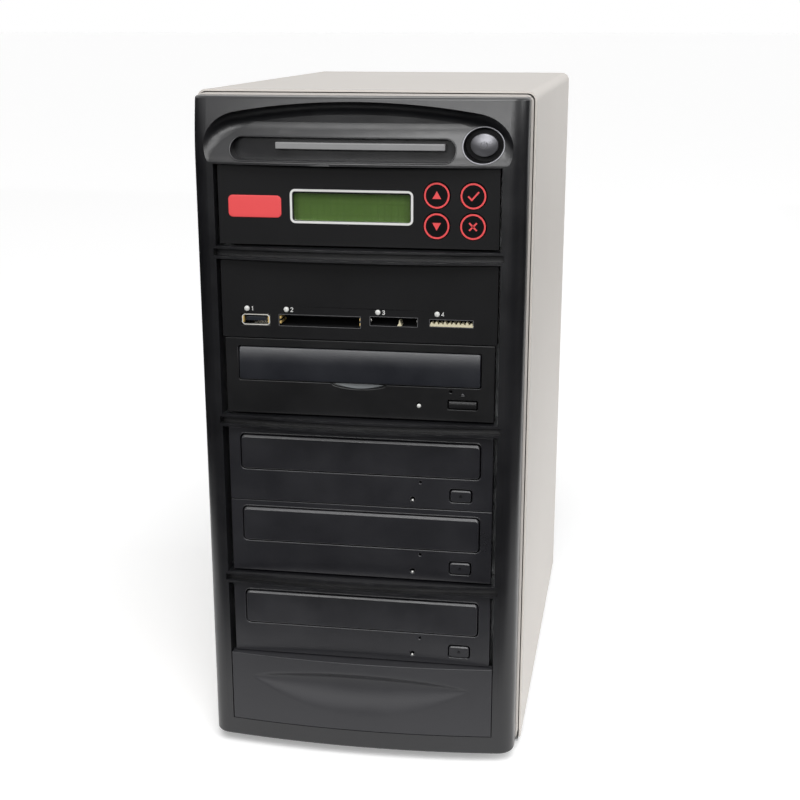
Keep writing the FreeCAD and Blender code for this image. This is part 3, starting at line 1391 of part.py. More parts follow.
def make_supply():
    """Power supply: folded box with a fan behind a punched grille and a hole for the inlet."""
    half = "psu_width / 2"
    top = "psu_floor + psu_height"
    outer = box("psu_outer", (f"-{half}", half), ("psu_front", "panel_in"), ("psu_floor", top))
    inner = box(
        "psu_inner", (f"can_wall - {half}", f"{half} - can_wall"),
        ("psu_front + can_wall", "panel_in - can_wall"), ("psu_floor + can_wall", f"{top} - can_wall"),
    )
    shell = cut("psu_shell", outer, inner)
    deep = ("panel_in - 2 * steel", "panel_in + steel")
    inlet_hole = block("inlet_hole", "inlet_x", "inlet_z", "inlet_wide / 2", INLET_LOW, INLET_HIGH, deep)
    pierced = cut(
        "psu_pierced", shell, *grille("psu_grille", "psu_fan_x", "psu_fan_z", deep), inlet_hole,
        *screw_holes("psu_hole", SUPPLY_SCREWS),
    )
    mount_y = "panel_in - can_wall - rotor_depth - 2 * spider"
    carrier = spider_plate("psu_fan", "psu_fan_x", "psu_fan_z", mount_y)
    posts = [
        box(f"psu_post_{side}", span, (mount_y, "panel_in - can_wall / 2"),
            ("psu_fan_z - spider / 2", "psu_fan_z + spider / 2"))
        for side, span in (
            ("left", ("psu_fan_x - fan_bore - spider", "psu_fan_x - fan_bore")),
            ("right", ("psu_fan_x + fan_bore", "psu_fan_x + fan_bore + spider")))
    ]
    keep(fuse("psu_piece", pierced, *carrier, *posts), "psu_case")
    make_rotor("psu_rotor", "psu_fan_x", "psu_fan_z", f"{mount_y} + spider + fit", "psu_fan_rotor")


def rocker_axle(name, room):
    """Pivot of the rocker, or with some room round it the sockets that hold it."""
    return rod(
        name, f"rocker_pin + {room}",
        ("inlet_x", "panel_in - rocker_pivot", f"rocker_z - rocker_tall / 2 - rocker_pin - {room}"),
        f"rocker_tall + 2 * rocker_pin + 2 * {room}", "z",
    )


def make_inlet():
    """Mains inlet module: a three-pin socket above the frame of the rocker switch."""
    body = block(
        "inlet_body", "inlet_x", "inlet_z", "inlet_wide / 2 - seat", f"{INLET_LOW} - seat",
        f"{INLET_HIGH} - seat", ("panel_in - inlet_depth", "panel_in"),
    )
    lip = block(
        "inlet_rim", "inlet_x", "inlet_z", "inlet_wide / 2 + inlet_lip", f"{INLET_LOW} + inlet_lip",
        f"{INLET_HIGH} + inlet_lip", ("panel_in", "panel_in + inlet_lip"),
    )
    throat = block(
        "inlet_throat", "inlet_x", "inlet_z", "inlet_wide / 2 - inlet_wall", "inlet_tall / 2 - inlet_wall",
        "inlet_tall / 2 - inlet_wall",
        ("panel_in - inlet_depth + 2 * inlet_wall", "panel_in + 2 * inlet_lip"),
    )
    rocker_hole = block(
        "rocker_hole", "inlet_x", "rocker_z", "rocker_wide / 2 + rocker_room", "rocker_tall / 2",
        "rocker_tall / 2", ("panel_in - inlet_depth + inlet_wall", "panel_in + 2 * inlet_lip"),
    )
    sockets = rocker_axle("rocker_sockets", "fit")
    cup = cut("inlet_cup", fuse("inlet_whole", body, lip), throat, fuse("rocker_room", rocker_hole, sockets))
    pins = []
    for pin, x, z in (("earth", "0", "pin_rise"), ("live", "pin_spread", "-pin_drop"),
                      ("neutral", "-pin_spread", "-pin_drop")):
        pins.append(box(
            f"inlet_pin_{pin}", (f"inlet_x + {x} - steel", f"inlet_x + {x} + steel"),
            ("panel_in - inlet_depth", "panel_in - 2 * inlet_wall"),
            (f"inlet_z + {z} - 2 * steel", f"inlet_z + {z} + 2 * steel"),
        ))
    keep(fuse("inlet_piece", cup, *pins), "mains_inlet")


def make_rocker():
    """Rocker of the mains switch, a shallow V on an upright pivot, resting on one side."""
    half = number("rocker_wide") / 2
    deep = -number("rocker_deep")
    pivot = number("rocker_pivot")
    tall = number("rocker_tall") - 2 * number("fit")
    outline = Part.makePolygon([
        Vector(-half, deep, 0), Vector(half, deep, 0), Vector(half, pivot + number("rocker_rise"), 0),
        Vector(0, pivot + number("rocker_dip"), 0), Vector(-half, pivot + number("rocker_rise"), 0),
        Vector(-half, deep, 0),
    ])
    paddle = Part.Face(outline).extrude(Vector(0, 0, tall))
    paddle.rotate(Vector(), Vector(0, 0, 1), number("rocker_tilt"))
    rocker = shaped("rocker_paddle", paddle)
    place(rocker, "inlet_x", "panel_in - rocker_pivot", "rocker_z - rocker_tall / 2 + fit")
    keep(fuse("rocker_piece", rocker, rocker_axle("rocker_axle", "0")), "rocker_switch")


def make_back():
    """Back panel with the supply's window, the fan grille, cooling slots and screw holes."""
    sheet = box(
        "back_sheet", ("fit - inner_half", "inner_half - fit"), ("panel_in", "panel_out"),
        ("foot_height", "case_top - steel - fit"),
    )
    through = ("panel_in - steel", "panel_out + steel")
    window = box(
        "back_window", ("psu_rim - psu_width / 2", "psu_width / 2 - psu_rim"), through,
        ("psu_floor + psu_rim", "psu_floor + psu_height - psu_rim"),
    )
    vents = []
    for side, x in (("left", "-vent_wide - vent_pitch"), ("right", "vent_pitch")):
        for row in range(int(number("vent_rows"))):
            low = f"foot_height + pan_flange + vent_pitch + {row} * vent_pitch"
            span = (x, f"{x} + vent_wide")
            vents.append(box(f"vent_{side}_{row}", span, through, (low, f"{low} + vent_tall")))
    holes = screw_holes("back_hole", COVER_SCREWS + SUPPLY_SCREWS + FAN_SCREWS)
    keep(
        cut("back_piece", sheet, window, *grille("back_grille", "0", "fan_level", through), *vents, *holes),
        "rear_panel",
    )


def make_loom():
    """Leads from the supply down behind the drives, with a plug on each can."""
    trunk_y = "can_back + plug_depth + lead_radius"
    trunk = rod(
        "loom_trunk", "lead_radius", ("0", trunk_y, "writer_3_floor + bay_pitch / 2"),
        "psu_floor - writer_3_floor - bay_pitch / 2", "z",
    )
    plugs = [
        box(f"plug_{name}", ("-plug_wide / 2", "plug_wide / 2"), ("can_back", trunk_y),
            (f"{name}_floor + bay_pitch / 2 - plug_tall / 2",
             f"{name}_floor + bay_pitch / 2 + plug_tall / 2"))
        for name, _ in DRIVES
    ]
    keep(fuse("loom_piece", trunk, *plugs), "wiring_loom")


make_cover()
make_pan()
make_frame()
make_cage()
make_feet()
make_screws()
make_bezel()
make_light_bar()
make_power_button()
make_control_panel()
make_boards()
make_reader()
make_blank()
for drive_name, drive_style in DRIVES:
    make_drive(drive_name, drive_style)
keep(group("decks_piece", *[make_deck(drive_name) for drive_name, _ in DRIVES]), "loader_decks")
make_exhaust_fan()
make_rotor("fan_rotor", "0", "fan_level", "panel_in - fan_depth + spider + fit", "exhaust_fan_rotor")
make_supply()
make_inlet()
make_rocker()
make_back()
make_loom()
doc.recompute()

for item in doc.Objects:
    if "Invalid" in item.State or "Error" in item.State:
        raise RuntimeError(f"{item.Name} could not be worked out: {item.State}")
for item in NODES:
    if item.Shape.isNull() or not item.Shape.isValid() or not item.Shape.Solids:
        raise RuntimeError(f"{item.Label} is not a sound solid")

os.makedirs("parts", exist_ok=True)
for item in NODES:
    item.Shape.exportStep(f"parts/{item.Label}.step")
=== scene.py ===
import json

import bmesh
import bpy
import numpy as np
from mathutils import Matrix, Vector
from mathutils.bvhtree import BVHTree


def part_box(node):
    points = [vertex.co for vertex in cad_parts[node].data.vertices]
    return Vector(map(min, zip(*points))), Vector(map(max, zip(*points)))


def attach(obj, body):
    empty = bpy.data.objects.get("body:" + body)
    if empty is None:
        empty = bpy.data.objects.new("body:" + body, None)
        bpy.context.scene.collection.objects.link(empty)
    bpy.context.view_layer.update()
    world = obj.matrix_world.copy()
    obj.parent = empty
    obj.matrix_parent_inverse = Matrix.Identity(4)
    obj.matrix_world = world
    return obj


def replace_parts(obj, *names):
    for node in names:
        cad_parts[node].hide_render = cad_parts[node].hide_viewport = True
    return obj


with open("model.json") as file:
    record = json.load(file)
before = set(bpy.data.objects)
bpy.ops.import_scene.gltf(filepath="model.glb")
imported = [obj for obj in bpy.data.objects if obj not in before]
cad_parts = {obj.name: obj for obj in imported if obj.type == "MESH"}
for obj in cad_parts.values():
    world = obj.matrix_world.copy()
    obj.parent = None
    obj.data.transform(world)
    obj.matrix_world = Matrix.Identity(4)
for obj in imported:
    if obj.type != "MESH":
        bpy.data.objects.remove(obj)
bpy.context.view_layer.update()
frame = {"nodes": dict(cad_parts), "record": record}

# Disc duplicator tower: finishes, softened edges, moulded fronts, beads, printed marks and small fittings.
# Metres, +Z up, front towards -Y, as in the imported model.

MM = 0.001
NODES = frame["nodes"]
BODY_OF = {
    node: body
    for body, members in frame["record"]["behaviour"]["bodies"].items()
    for node in members
}
DRIVES = ("source", "writer_1", "writer_2", "writer_3")
WRITERS = DRIVES[1:]
KEYS = ("up_key", "enter_key", "down_key", "escape_key")


# Finishes

# Sockets of a colour mix, which share their names with others of the node
MIX_FIRST, MIX_SECOND, MIX_RESULT = 6, 7, 2
GLOSS_SWING = 0.05
GRAIN_STRENGTH = 0.6
CRYSTAL = 6 * MM
# Width of the band of painted shade along the display's top and sides
DISPLAY_SHADE_FADE = 4 * MM


def linear(code):
    """sRGB hex text to linear red, green, blue and full alpha."""
    values = np.array([int(code[place:place + 2], 16) for place in (1, 3, 5)]) / 255
    curve = np.where(values <= 0.04045, values / 12.92, ((values + 0.055) / 1.055) ** 2.4)
    return (*curve.tolist(), 1.0)


def add(tree, kind, inputs=None, **settings):
    """Add a node with its settings; each input is a value or the output that feeds it."""
    made = tree.nodes.new("ShaderNode" + kind)
    for key, value in settings.items():
        setattr(made, key, value)
    for socket, value in (inputs or {}).items():
        if isinstance(value, bpy.types.NodeSocket):
            tree.links.new(value, made.inputs[socket])
        else:
            made.inputs[socket].default_value = value
    return made


def blend(tree, share, first, second):
    """Mix of two colours: the first where the share is 0, the second where it is 1."""
    mixed = add(tree, "Mix", {"Factor": share, MIX_FIRST: first, MIX_SECOND: second}, data_type="RGBA")
    return mixed.outputs[MIX_RESULT]


def ramp(tree, value, low, high, first, last):
    """A value's way from low to high, turned into the way from first to last."""
    return add(tree, "MapRange", {
        "Value": value, "From Min": low, "From Max": high, "To Min": first, "To Max": last,
    }).outputs["Result"]


def material(name, **sockets):
    """A new material with its shader's plain values set; returns it with its tree and shader."""
    made = bpy.data.materials.new(name)
    made.use_nodes = True
    tree = made.node_tree
    shader = tree.nodes["Principled BSDF"]
    for socket, value in sockets.items():
        shader.inputs[socket.replace("_", " ")].default_value = value
    return made, tree, shader


def grained(name, dark, light, rough, grain, depth, patch=30.0, **sockets):
    """A material with a fine surface grain in millimetres and slow, faint changes of tone and gloss."""
    made, tree, shader = material(name, **sockets)
    place = add(tree, "TexCoord").outputs["Object"]
    fine = add(tree, "TexNoise", {"Vector": place, "Scale": 1 / (grain * MM), "Detail": 3.0, "Roughness": 0.6})
    slow = add(tree, "TexNoise", {"Vector": place, "Scale": 1 / (patch * MM), "Detail": 4.0, "Roughness": 0.65})
    share = slow.outputs["Fac"]
    gloss = ramp(tree, share, 0.3, 0.7, rough - GLOSS_SWING, rough + GLOSS_SWING)
    relief = add(tree, "Bump", {
        "Height": fine.outputs["Fac"], "Strength": GRAIN_STRENGTH, "Distance": depth * MM,
    })
    tree.links.new(blend(tree, share, linear(dark), linear(light)), shader.inputs["Base Color"])
    tree.links.new(gloss, shader.inputs["Roughness"])
    tree.links.new(relief.outputs["Normal"], shader.inputs["Normal"])
    return made


# Powder-coated steel: baked paint with a faint orange peel, so a soft broad sheen and no sharp reflections
PAINT = grained("powder_coated_steel", "#c9c4be", "#d1ccc7", 0.5, 0.9, 0.04, 60.0, IOR=1.5, Specular_IOR_Level=0.35)
# Spark-eroded ABS: the mould's fine texture breaks the highlights into a grey bloom (grain drawn coarser to show)
ABS = grained("textured_abs", "#0f0f11", "#151518", 0.33, 0.7, 0.06, IOR=1.53, Specular_IOR_Level=0.58)
# The blanking plate comes from a duller mould
DULL_ABS = grained("dull_abs", "#232326", "#2a2a2d", 0.46, 0.7, 0.06, IOR=1.53, Specular_IOR_Level=0.45)
# Plain ABS plate: a dull texture whose pits trap the light, nearly even black
PLATE = grained("matt_abs_plate", "#0c0c0d", "#101012", 0.5, 0.5, 0.03, IOR=1.52, Specular_IOR_Level=0.2)
# Satin ABS of the reading drive: smoother. Its tray front is glossier, and its lighter, bluer colour there is a
# painted reflection of a cool sheen
SATIN = grained("satin_abs", "#141415", "#19191a", 0.36, 0.45, 0.025, IOR=1.53, Specular_IOR_Level=0.3)
# Tray front: glossier satin ABS whose lighter blue-grey base colour is a painted cool sheen
DOOR_WITH_PAINTED_SHEEN = grained("satin_abs_door_painted_sheen", "#191a1f", "#1f2127", 0.34, 0.45, 0.025, IOR=1.53, Specular_IOR_Level=0.6)
# Charcoal ABS of the writing drives: a shade lighter, with a soft sheen
CHARCOAL = grained("charcoal_abs", "#1d1d20", "#232327", 0.32, 0.55, 0.04, IOR=1.53, Specular_IOR_Level=0.65)
# Silicone rubber key tops: smooth and dark
KEY_RUBBER = grained("silicone_key_tops", "#0b0b0c", "#0f0f11", 0.4, 0.6, 0.02, IOR=1.43, Specular_IOR_Level=0.15)
# Metal paint on the power button: dark silver flakes under a satin lacquer. On the rim of its well the same silver is
# a painted highlight
BUTTON_AND_WELL_HIGHLIGHT = grained("silver_lacquer_and_well_highlight", "#7a7a7e", "#858589", 0.36, 0.5, 0.02, Metallic=0.75)
# Moulded tray and loader plastic: dull and even
TRAY_ABS = grained("tray_abs", "#161617", "#1c1c1e", 0.55, 0.6, 0.03, IOR=1.53, Specular_IOR_Level=0.25)
DECK_ABS = grained("loader_abs", "#29292b", "#323235", 0.6, 0.8, 0.05, IOR=1.53, Specular_IOR_Level=0.25)
# Acetal gears: waxy off-white with a slippery sheen
ACETAL = grained("acetal", "#dcd8cc", "#e8e4da", 0.35, 1.2, 0.02, IOR=1.48)
# Glass-filled nylon fan and sockets: grey-black with a dry surface
NYLON = grained("glass_filled_nylon", "#111112", "#19191b", 0.58, 0.4, 0.05, IOR=1.53, Specular_IOR_Level=0.25)
# Glossy polycarbonate of the rocker
ROCKER = grained("polycarbonate", "#101011", "#151517", 0.25, 1.5, 0.01, IOR=1.58)
# Natural rubber feet: dusty black
RUBBER = grained("natural_rubber", "#171716", "#22211f", 0.8, 0.5, 0.08, IOR=1.52)
# Braided sleeve on the leads
SLEEVE = grained("woven_sleeve", "#0f0f10", "#1b1b1c", 0.7, 1.0, 0.3, IOR=1.5)
# Glass-fibre laminate with green solder resist
LAMINATE = grained("glass_fibre_laminate", "#0d3a20", "#14502c", 0.4, 0.8, 0.03, IOR=1.55)
# Frosted acrylic light bar: grey and cloudy, as it is unlit
FROSTED = grained("frosted_acrylic", "#8a8a8b", "#9d9d9d", 0.36, 0.5, 0.03, IOR=1.49)
# Milky epoxy of the small lamps
EPOXY = grained("milky_epoxy", "#d4d5d2", "#e6e6e3", 0.3, 0.6, 0.01, IOR=1.52)
# Screen-printing inks: matt, with a slightly uneven film
WHITE_INK = grained("white_ink", "#e2e2e0", "#f0f0ee", 0.6, 0.3, 0.01, IOR=1.5)
CORAL_INK = grained("coral_ink", "#ee4a4c", "#f8585a", 0.55, 0.3, 0.01, IOR=1.5)
GREY_INK = grained("grey_ink", "#5c5c5e", "#6a6a6c", 0.6, 0.3, 0.01, IOR=1.5)
DARK_INK = grained("dark_ink", "#060607", "#0a0a0b", 0.7, 0.3, 0.01, IOR=1.5, Specular_IOR_Level=0.1)
# Grey polystyrene let into the finger notch
GREY_PS = grained("grey_polystyrene", "#6c7072", "#787c7e", 0.45, 0.6, 0.02, IOR=1.59, Specular_IOR_Level=0.3)
# Gold flash on contacts, and bare brass of springs and blades that scatters more
GOLD = grained("gold_flash", "#c9a24e", "#dcb768", 0.3, 0.5, 0.01, Metallic=1.0)
BRASS = grained("bare_brass", "#d2b26a", "#e0c27e", 0.5, 0.5, 0.01, Metallic=0.4)
# Blue-black polyester of the stick socket's tongue
TONGUE = grained("blue_black_polyester", "#15191f", "#1c2129", 0.35, 0.4, 0.02, IOR=1.55)
# Cream polyester of the contact carrier
CREAM = grained("cream_polyester", "#d8cfae", "#e6dec2", 0.5, 0.4, 0.02, IOR=1.55)
# Steel rim of the stick socket's shell, pale and scattering: the rim is real, its paleness a painted reflection of the
# shell's bright lower edge
TIN_AND_PAINTED_GLINT = grained("tinned_steel_painted_glint", "#d8d6cf", "#e4e2dc", 0.55, 0.3, 0.01, Metallic=0.3)
# Nickel plate of screws, rails and socket shells: bright, slightly brushed
NICKEL = grained("nickel_plate", "#b9b7b1", "#c9c7c2", 0.25, 0.4, 0.01, Metallic=1.0)


def zinc_sheet():
    """Hot-dip zinc on steel sheet: flat crystals about 6 mm wide that differ in tone and gloss."""
    made, tree, shader = material("galvanised_steel", Metallic=1.0)
    place = add(tree, "TexCoord").outputs["Object"]
    crystals = add(tree, "TexVoronoi", {"Vector": place, "Scale": 1 / CRYSTAL}, feature="F1")
    grey = add(tree, "RGBToBW", {"Color": crystals.outputs["Color"]}).outputs["Val"]
    tree.links.new(blend(tree, grey, linear("#a4a6a8"), linear("#bfc1c2")), shader.inputs["Base Color"])
    tree.links.new(ramp(tree, grey, 0.0, 1.0, 0.34, 0.5), shader.inputs["Roughness"])
    return made


def display_glass():
    """Unlit reflective display: yellow-green, with faint rows of cells, and painted shade that darkens it towards its
    top and its sides, under the rim of its window.
    """
    made, tree, shader = material("liquid_crystal_glass", Roughness=0.3, IOR=1.5)
    low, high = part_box("lcd_window")
    middle, half = (low.x + high.x) / 2, (high.x - low.x) / 2
    place = add(tree, "TexCoord").outputs["Object"]
    spot = add(tree, "SeparateXYZ", {"Vector": place}).outputs
    cells = add(tree, "TexBrick", {
        "Vector": add(tree, "CombineXYZ", {"X": spot["X"], "Y": spot["Z"]}).outputs["Vector"],
        "Color1": linear("#6b8b47"), "Color2": linear("#688744"), "Mortar": linear("#638141"),
        "Scale": 1.0, "Brick Width": 3.6 * MM, "Row Height": 6.0 * MM, "Mortar Size": 0.35 * MM,
    }, offset=0.0).outputs["Color"]
    # Painted shade under the window's rim: darker towards the top and the sides of the display
    top = ramp(tree, spot["Z"], high.z - DISPLAY_SHADE_FADE, high.z, 0.0, 0.75)
    aside = add(tree, "Math", {0: spot["X"], 1: middle}, operation="SUBTRACT").outputs[0]
    away = add(tree, "Math", {0: aside}, operation="ABSOLUTE").outputs[0]
    side = ramp(tree, away, half - DISPLAY_SHADE_FADE, half, 0.0, 0.6)
    shade = blend(tree, top, cells, linear("#2c3c1a"))
    tree.links.new(blend(tree, side, shade, linear("#3b5022")), shader.inputs["Base Color"])
    return made


ZINC = zinc_sheet()
DISPLAY = display_glass()
# Clear acrylic pane in front of the display
CLEAR = material("clear_acrylic", Base_Color=linear("#f4f6f0"), Roughness=0.06, IOR=1.49, Transmission_Weight=1.0)[0]

FINISHES = {
    PAINT: ["cover", "front_frame"],
    ZINC: ["base_pan", "drive_cage", "rear_panel", "psu_case"] + [f"{drive}_case" for drive in DRIVES],
    ABS: ["front_bezel"],
    DULL_ABS: ["blank_cover"],
    PLATE: ["control_panel", "reader_panel"],
    SATIN: ["source_bezel", "source_eject_button"],
    DOOR_WITH_PAINTED_SHEEN: ["source_tray_front"],
    CHARCOAL: [f"{drive}_{part}" for drive in WRITERS for part in ("bezel", "tray_front", "eject_button")],
    KEY_RUBBER: KEYS,
    BUTTON_AND_WELL_HIGHLIGHT: ["power_button"],
    TRAY_ABS: [f"{drive}_tray" for drive in DRIVES],
    DECK_ABS: ["loader_decks", "lcd_module"] + [f"{drive}_spindle" for drive in DRIVES],
    ACETAL: [f"{drive}_loading_gear" for drive in DRIVES],
    NYLON: ["exhaust_fan_frame", "exhaust_fan_rotor", "psu_fan_rotor", "mains_inlet", "card_sockets", "power_switch"],
    ROCKER: ["rocker_switch"],
    RUBBER: ["feet"],
    SLEEVE: ["wiring_loom"],
    LAMINATE: ["circuit_boards"],
    FROSTED: ["light_bar"],
    EPOXY: ["status_leds"],
    NICKEL: ["screws", "usb_socket"],
    CLEAR: ["lcd_window"],
}
FINISH_OF = {node: finish for finish, members in FINISHES.items() for node in members}
for node, finish in FINISH_OF.items():
    NODES[node].data.materials.clear()
    NODES[node].data.materials.append(finish)


# Pieces

SHARP = np.radians(40)
FLAT = np.radians(0.05)
# Slot of the faces that a bevel adds, until the piece has its finish
ROUNDED = 1
NEAR = 0.03 * MM
CAD_WELD = 0.002 * MM
GRID_WELD = 0.0005 * MM
# How far ink stands out of a face, and reaches into it
FILM = 0.06 * MM
SUNK = 0.04 * MM
FRONT = -1
BACK = 1


def piece(name, mesh, finish, body):
    """A new piece in place, with one finish, riding on a body."""
    made = bpy.data.objects.new(name, mesh)
    bpy.context.scene.collection.objects.link(made)
    mesh.materials.clear()
    mesh.materials.append(finish)
    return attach(made, body)


def shaded_as(mesh, cad):
    """Take the shading of a CAD mesh over: each corner of an old face gets the direction that the CAD surface has
    there, and the new round faces between them run from one to the other."""
    cad.calc_loop_triangles()
    spots = np.array([spot.co for spot in cad.vertices])
    corners = np.array([triangle.vertices for triangle in cad.loop_triangles])
    directions = np.array([corner.vector for corner in cad.corner_normals])
    sides = directions[np.array([triangle.loops for triangle in cad.loop_triangles])]
    tree = BVHTree.FromPolygons(spots.tolist(), corners.tolist())
    found = np.zeros((len(mesh.loops), 3))
    kept = {}
    for face in mesh.polygons:
        if face.material_index == ROUNDED:
            continue
        for loop in face.loop_indices:
            spot = mesh.loops[loop].vertex_index
            place, _, which, _ = tree.find_nearest(mesh.vertices[spot].co + face.normal * NEAR)
            first, second, third = spots[corners[which]]
            edges = np.stack([second - first, third - first], axis=1)
            share = np.linalg.lstsq(edges, np.array(place) - first, rcond=None)[0]
            found[loop] = np.array([1 - share.sum(), *share]) @ sides[which]
            kept[spot] = found[loop]
    for face in mesh.polygons:
        if face.material_index == ROUNDED:
            for loop in face.loop_indices:
                spot = mesh.loops[loop].vertex_index
                found[loop] = kept.get(spot, mesh.vertices[spot].normal)
    found /= np.linalg.norm(found, axis=1, keepdims=True)
    mesh.normals_split_custom_set(found.tolist())


def softened(node, width):
    """A copy of a CAD node with its sharp edges rounded over, shaded as the CAD surface is, which stands for it."""
    cad = NODES[node].data
    mesh = bpy.data.meshes.new(f"{node}_softened")
    work = bmesh.new()
    work.from_mesh(cad)
    bmesh.ops.remove_doubles(work, verts=work.verts, dist=CAD_WELD)
    bmesh.ops.dissolve_limit(work, angle_limit=FLAT, verts=work.verts, edges=work.edges)
    edges = [edge for edge in work.edges if len(edge.link_faces) == 2 and edge.calc_face_angle() > SHARP]
    bmesh.ops.bevel(
        work, geom=edges, offset=width * MM, offset_type="OFFSET", segments=3, profile=0.5, affect="EDGES",
        clamp_overlap=False, loop_slide=True, material=ROUNDED,
    )
    for face in work.faces:
        face.smooth = True
    work.to_mesh(mesh)
    work.free()
    shaded_as(mesh, cad)
    mesh.polygons.foreach_set("material_index", np.zeros(len(mesh.polygons), dtype=np.int32))
    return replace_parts(piece(f"{node}_softened", mesh, FINISH_OF[node], BODY_OF[node]), node)


def smoothed(mesh):
    """Shade a mesh round, apart from its sharp edges."""
    mesh.shade_smooth()
    mesh.set_sharp_from_angle(angle=SHARP)
    return mesh


def surface(name, points, around=False):
    """Mesh of a grid of points: rows run one way, columns the other; `around` closes the columns."""
    rows, columns = points.shape[:2]
    index = np.arange(rows * columns).reshape(rows, columns)
    if around:
        index = np.concatenate([index, index[:, :1]], axis=1)
    quads = np.stack([index[:-1, :-1], index[:-1, 1:], index[1:, 1:], index[1:, :-1]], axis=-1).reshape(-1, 4)
    mesh = bpy.data.meshes.new(name)
    mesh.from_pydata(points.reshape(-1, 3).tolist(), [], quads.tolist())
    work = bmesh.new()
    work.from_mesh(mesh)
    bmesh.ops.remove_doubles(work, verts=work.verts, dist=GRID_WELD)
    bmesh.ops.recalc_face_normals(work, faces=work.faces)
    work.to_mesh(mesh)
    work.free()
    return smoothed(mesh)


def laid(x, y, z):
    """Grid of points from three arrays, each spread over the others."""
    return np.stack(np.broadcast_arrays(x, y, z), axis=-1)


def capped(points):
    """Close a tube: a row drawn in to its middle is added at either end of the grid."""
    ends = [end.mean(axis=1, keepdims=True).repeat(points.shape[1], axis=1) for end in (points[:1], points[-1:])]
    return np.concatenate([ends[0], points, ends[1]])


def stroke(path, width, level, facing=FRONT, closed=False):
    """Flat line of ink: a low rectangle carried along a path in X and Z, at a level across Y (one, or one a point)."""
    path = np.asarray(path, float)
    if closed:
        ahead = np.roll(path, -1, axis=0) - path
        behind = path - np.roll(path, 1, axis=0)
    else:
        steps = np.diff(path, axis=0)
        ahead = np.concatenate([steps, steps[-1:]])
        behind = np.concatenate([steps[:1], steps])
    ahead /= np.linalg.norm(ahead, axis=1, keepdims=True)
    behind /= np.linalg.norm(behind, axis=1, keepdims=True)
    way = ahead + behind
    way /= np.linalg.norm(way, axis=1, keepdims=True)
    stretch = 1 / np.clip((way * ahead).sum(axis=1, keepdims=True), 0.5, 1)
    across = np.stack([way[:, 1], -way[:, 0]], axis=1) * stretch * width / 2
    sides = np.stack([path - across, path + across, path + across, path - across], axis=1)
    levels = np.broadcast_to(level, len(path))[:, None] + facing * np.array([FILM, FILM, -SUNK, -SUNK])
    points = laid(sides[:, :, 0], levels, sides[:, :, 1])
    return np.concatenate([points, points[:1]]) if closed else capped(points)


def slab(outline, back, front, edge=0.0):
    """Filled shape: an outline in X and Z carried along Y from `back` to `front`, its front edge rounded over a
    quarter circle, its back and its face drawn in to the middle."""
    outline = np.asarray(outline, float)
    middle = (outline.max(axis=0) + outline.min(axis=0)) / 2
    reach = np.abs(outline - middle).max(axis=0).min()
    out = np.sign(front - back)
    turn = np.linspace(0, np.pi / 2, 6 if edge else 1)
    inward = np.linspace(1, 0, 7)[1:]
    rim = 1 - edge / reach * (1 - np.cos(turn))
    shares = np.concatenate([[0.0, 1.0], rim, rim[-1] * inward])
    levels = np.concatenate([
        [back, back], front - out * edge * (1 - np.sin(turn)), np.full(len(inward), front),
    ])
    flat = middle + (outline - middle) * shares[:, None, None]
    return laid(flat[:, :, 0], levels[:, None], flat[:, :, 1])


def lens(x, z, radius, height, front):
    """Domed lens: rings of a circle that shrink with the cosine and stand out with the sine of a quarter turn, on a
    flat back."""
    turn = np.linspace(0, np.pi / 2, 9)
    ring = circle(0, 0, 1.0, 32)
    wide = radius * np.concatenate([[0.0], np.cos(turn)])[:, None]
    level = front - height * np.concatenate([[0.0], np.sin(turn)])[:, None]
    return laid(x + wide * ring[:, 0], level, z + wide * ring[:, 1])


def landed(node, flat, facing=FRONT):
    """Levels across Y where points in X and Z meet a node, seen from its front or its back."""
    mesh = NODES[node].data
    tree = BVHTree.FromPolygons([spot.co for spot in mesh.vertices], [face.vertices for face in mesh.polygons])
    return np.array([tree.ray_cast(Vector((x, facing, z)), Vector((0, -facing, 0)))[0].y for x, z in flat])


def ink(name, points, finish, node):
    """A mark or fitting made of one closed grid, which rides with a node."""
    return piece(name, surface(name, points, around=True), finish, BODY_OF[node])


def rounded_loop(left, right, low, high, radius, corner=8):
    """Points round a rectangle with rounded corners, in X and Z."""
    turn = np.linspace(0, np.pi / 2, corner)
    centres = (
        (right - radius, high - radius), (left + radius, high - radius),
        (left + radius, low + radius), (right - radius, low + radius),
    )
    arcs = [
        np.stack([x + radius * np.cos(turn + count * np.pi / 2), z + radius * np.sin(turn + count * np.pi / 2)], 1)
        for count, (x, z) in enumerate(centres)
    ]
    return np.concatenate(arcs)


def circle(x, z, radius, count=64):
    """Points round a circle in X and Z."""
    turn = np.linspace(0, 2 * np.pi, count, endpoint=False)
    return np.stack([x + radius * np.cos(turn), z + radius * np.sin(turn)], axis=1)


def centre(node):
    """Middle of a node in X and Z."""
    low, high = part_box(node)
    return np.array([(low.x + high.x) / 2, (low.z + high.z) / 2])


for node in ("control_panel", "reader_panel", "power_button"):
    softened(node, 0.25)
softened("light_bar", 0.5)
for drive in DRIVES:
    softened(f"{drive}_bezel", 0.5)
for node in KEYS:
    softened(node, 0.25)


# Moulded fronts, in millimetres: tray fronts, eject buttons and the blanking plate

# Distance within which a corner counts as lying on a level
CLOSE = 0.01
# How far a bevel falls back for its height, and the strip of face that keeps its shading apart
LEAN = 0.45
BREAK = 0.15
# Levels behind which the CAD shapes are kept
BLANK_BACK = -150.5
DOOR_BACK = -150.1
CAP_BACK = -147.7
# Radius of the bow across the front
BOW = 584.7
# Finger hollow of the blanking plate: heights at its ends, and how far brow and foot swell in the middle
PULL_HALF = 64.0
PULL_DEPTH = 4.2
PULL_STEEP = 1.0
PULL_SOFT = 0.45
PULL_RUN = 0.75
BROW, BROW_SWELL = 29.0, 6.2
FOOT, FOOT_SWELL = 28.0, 20.0


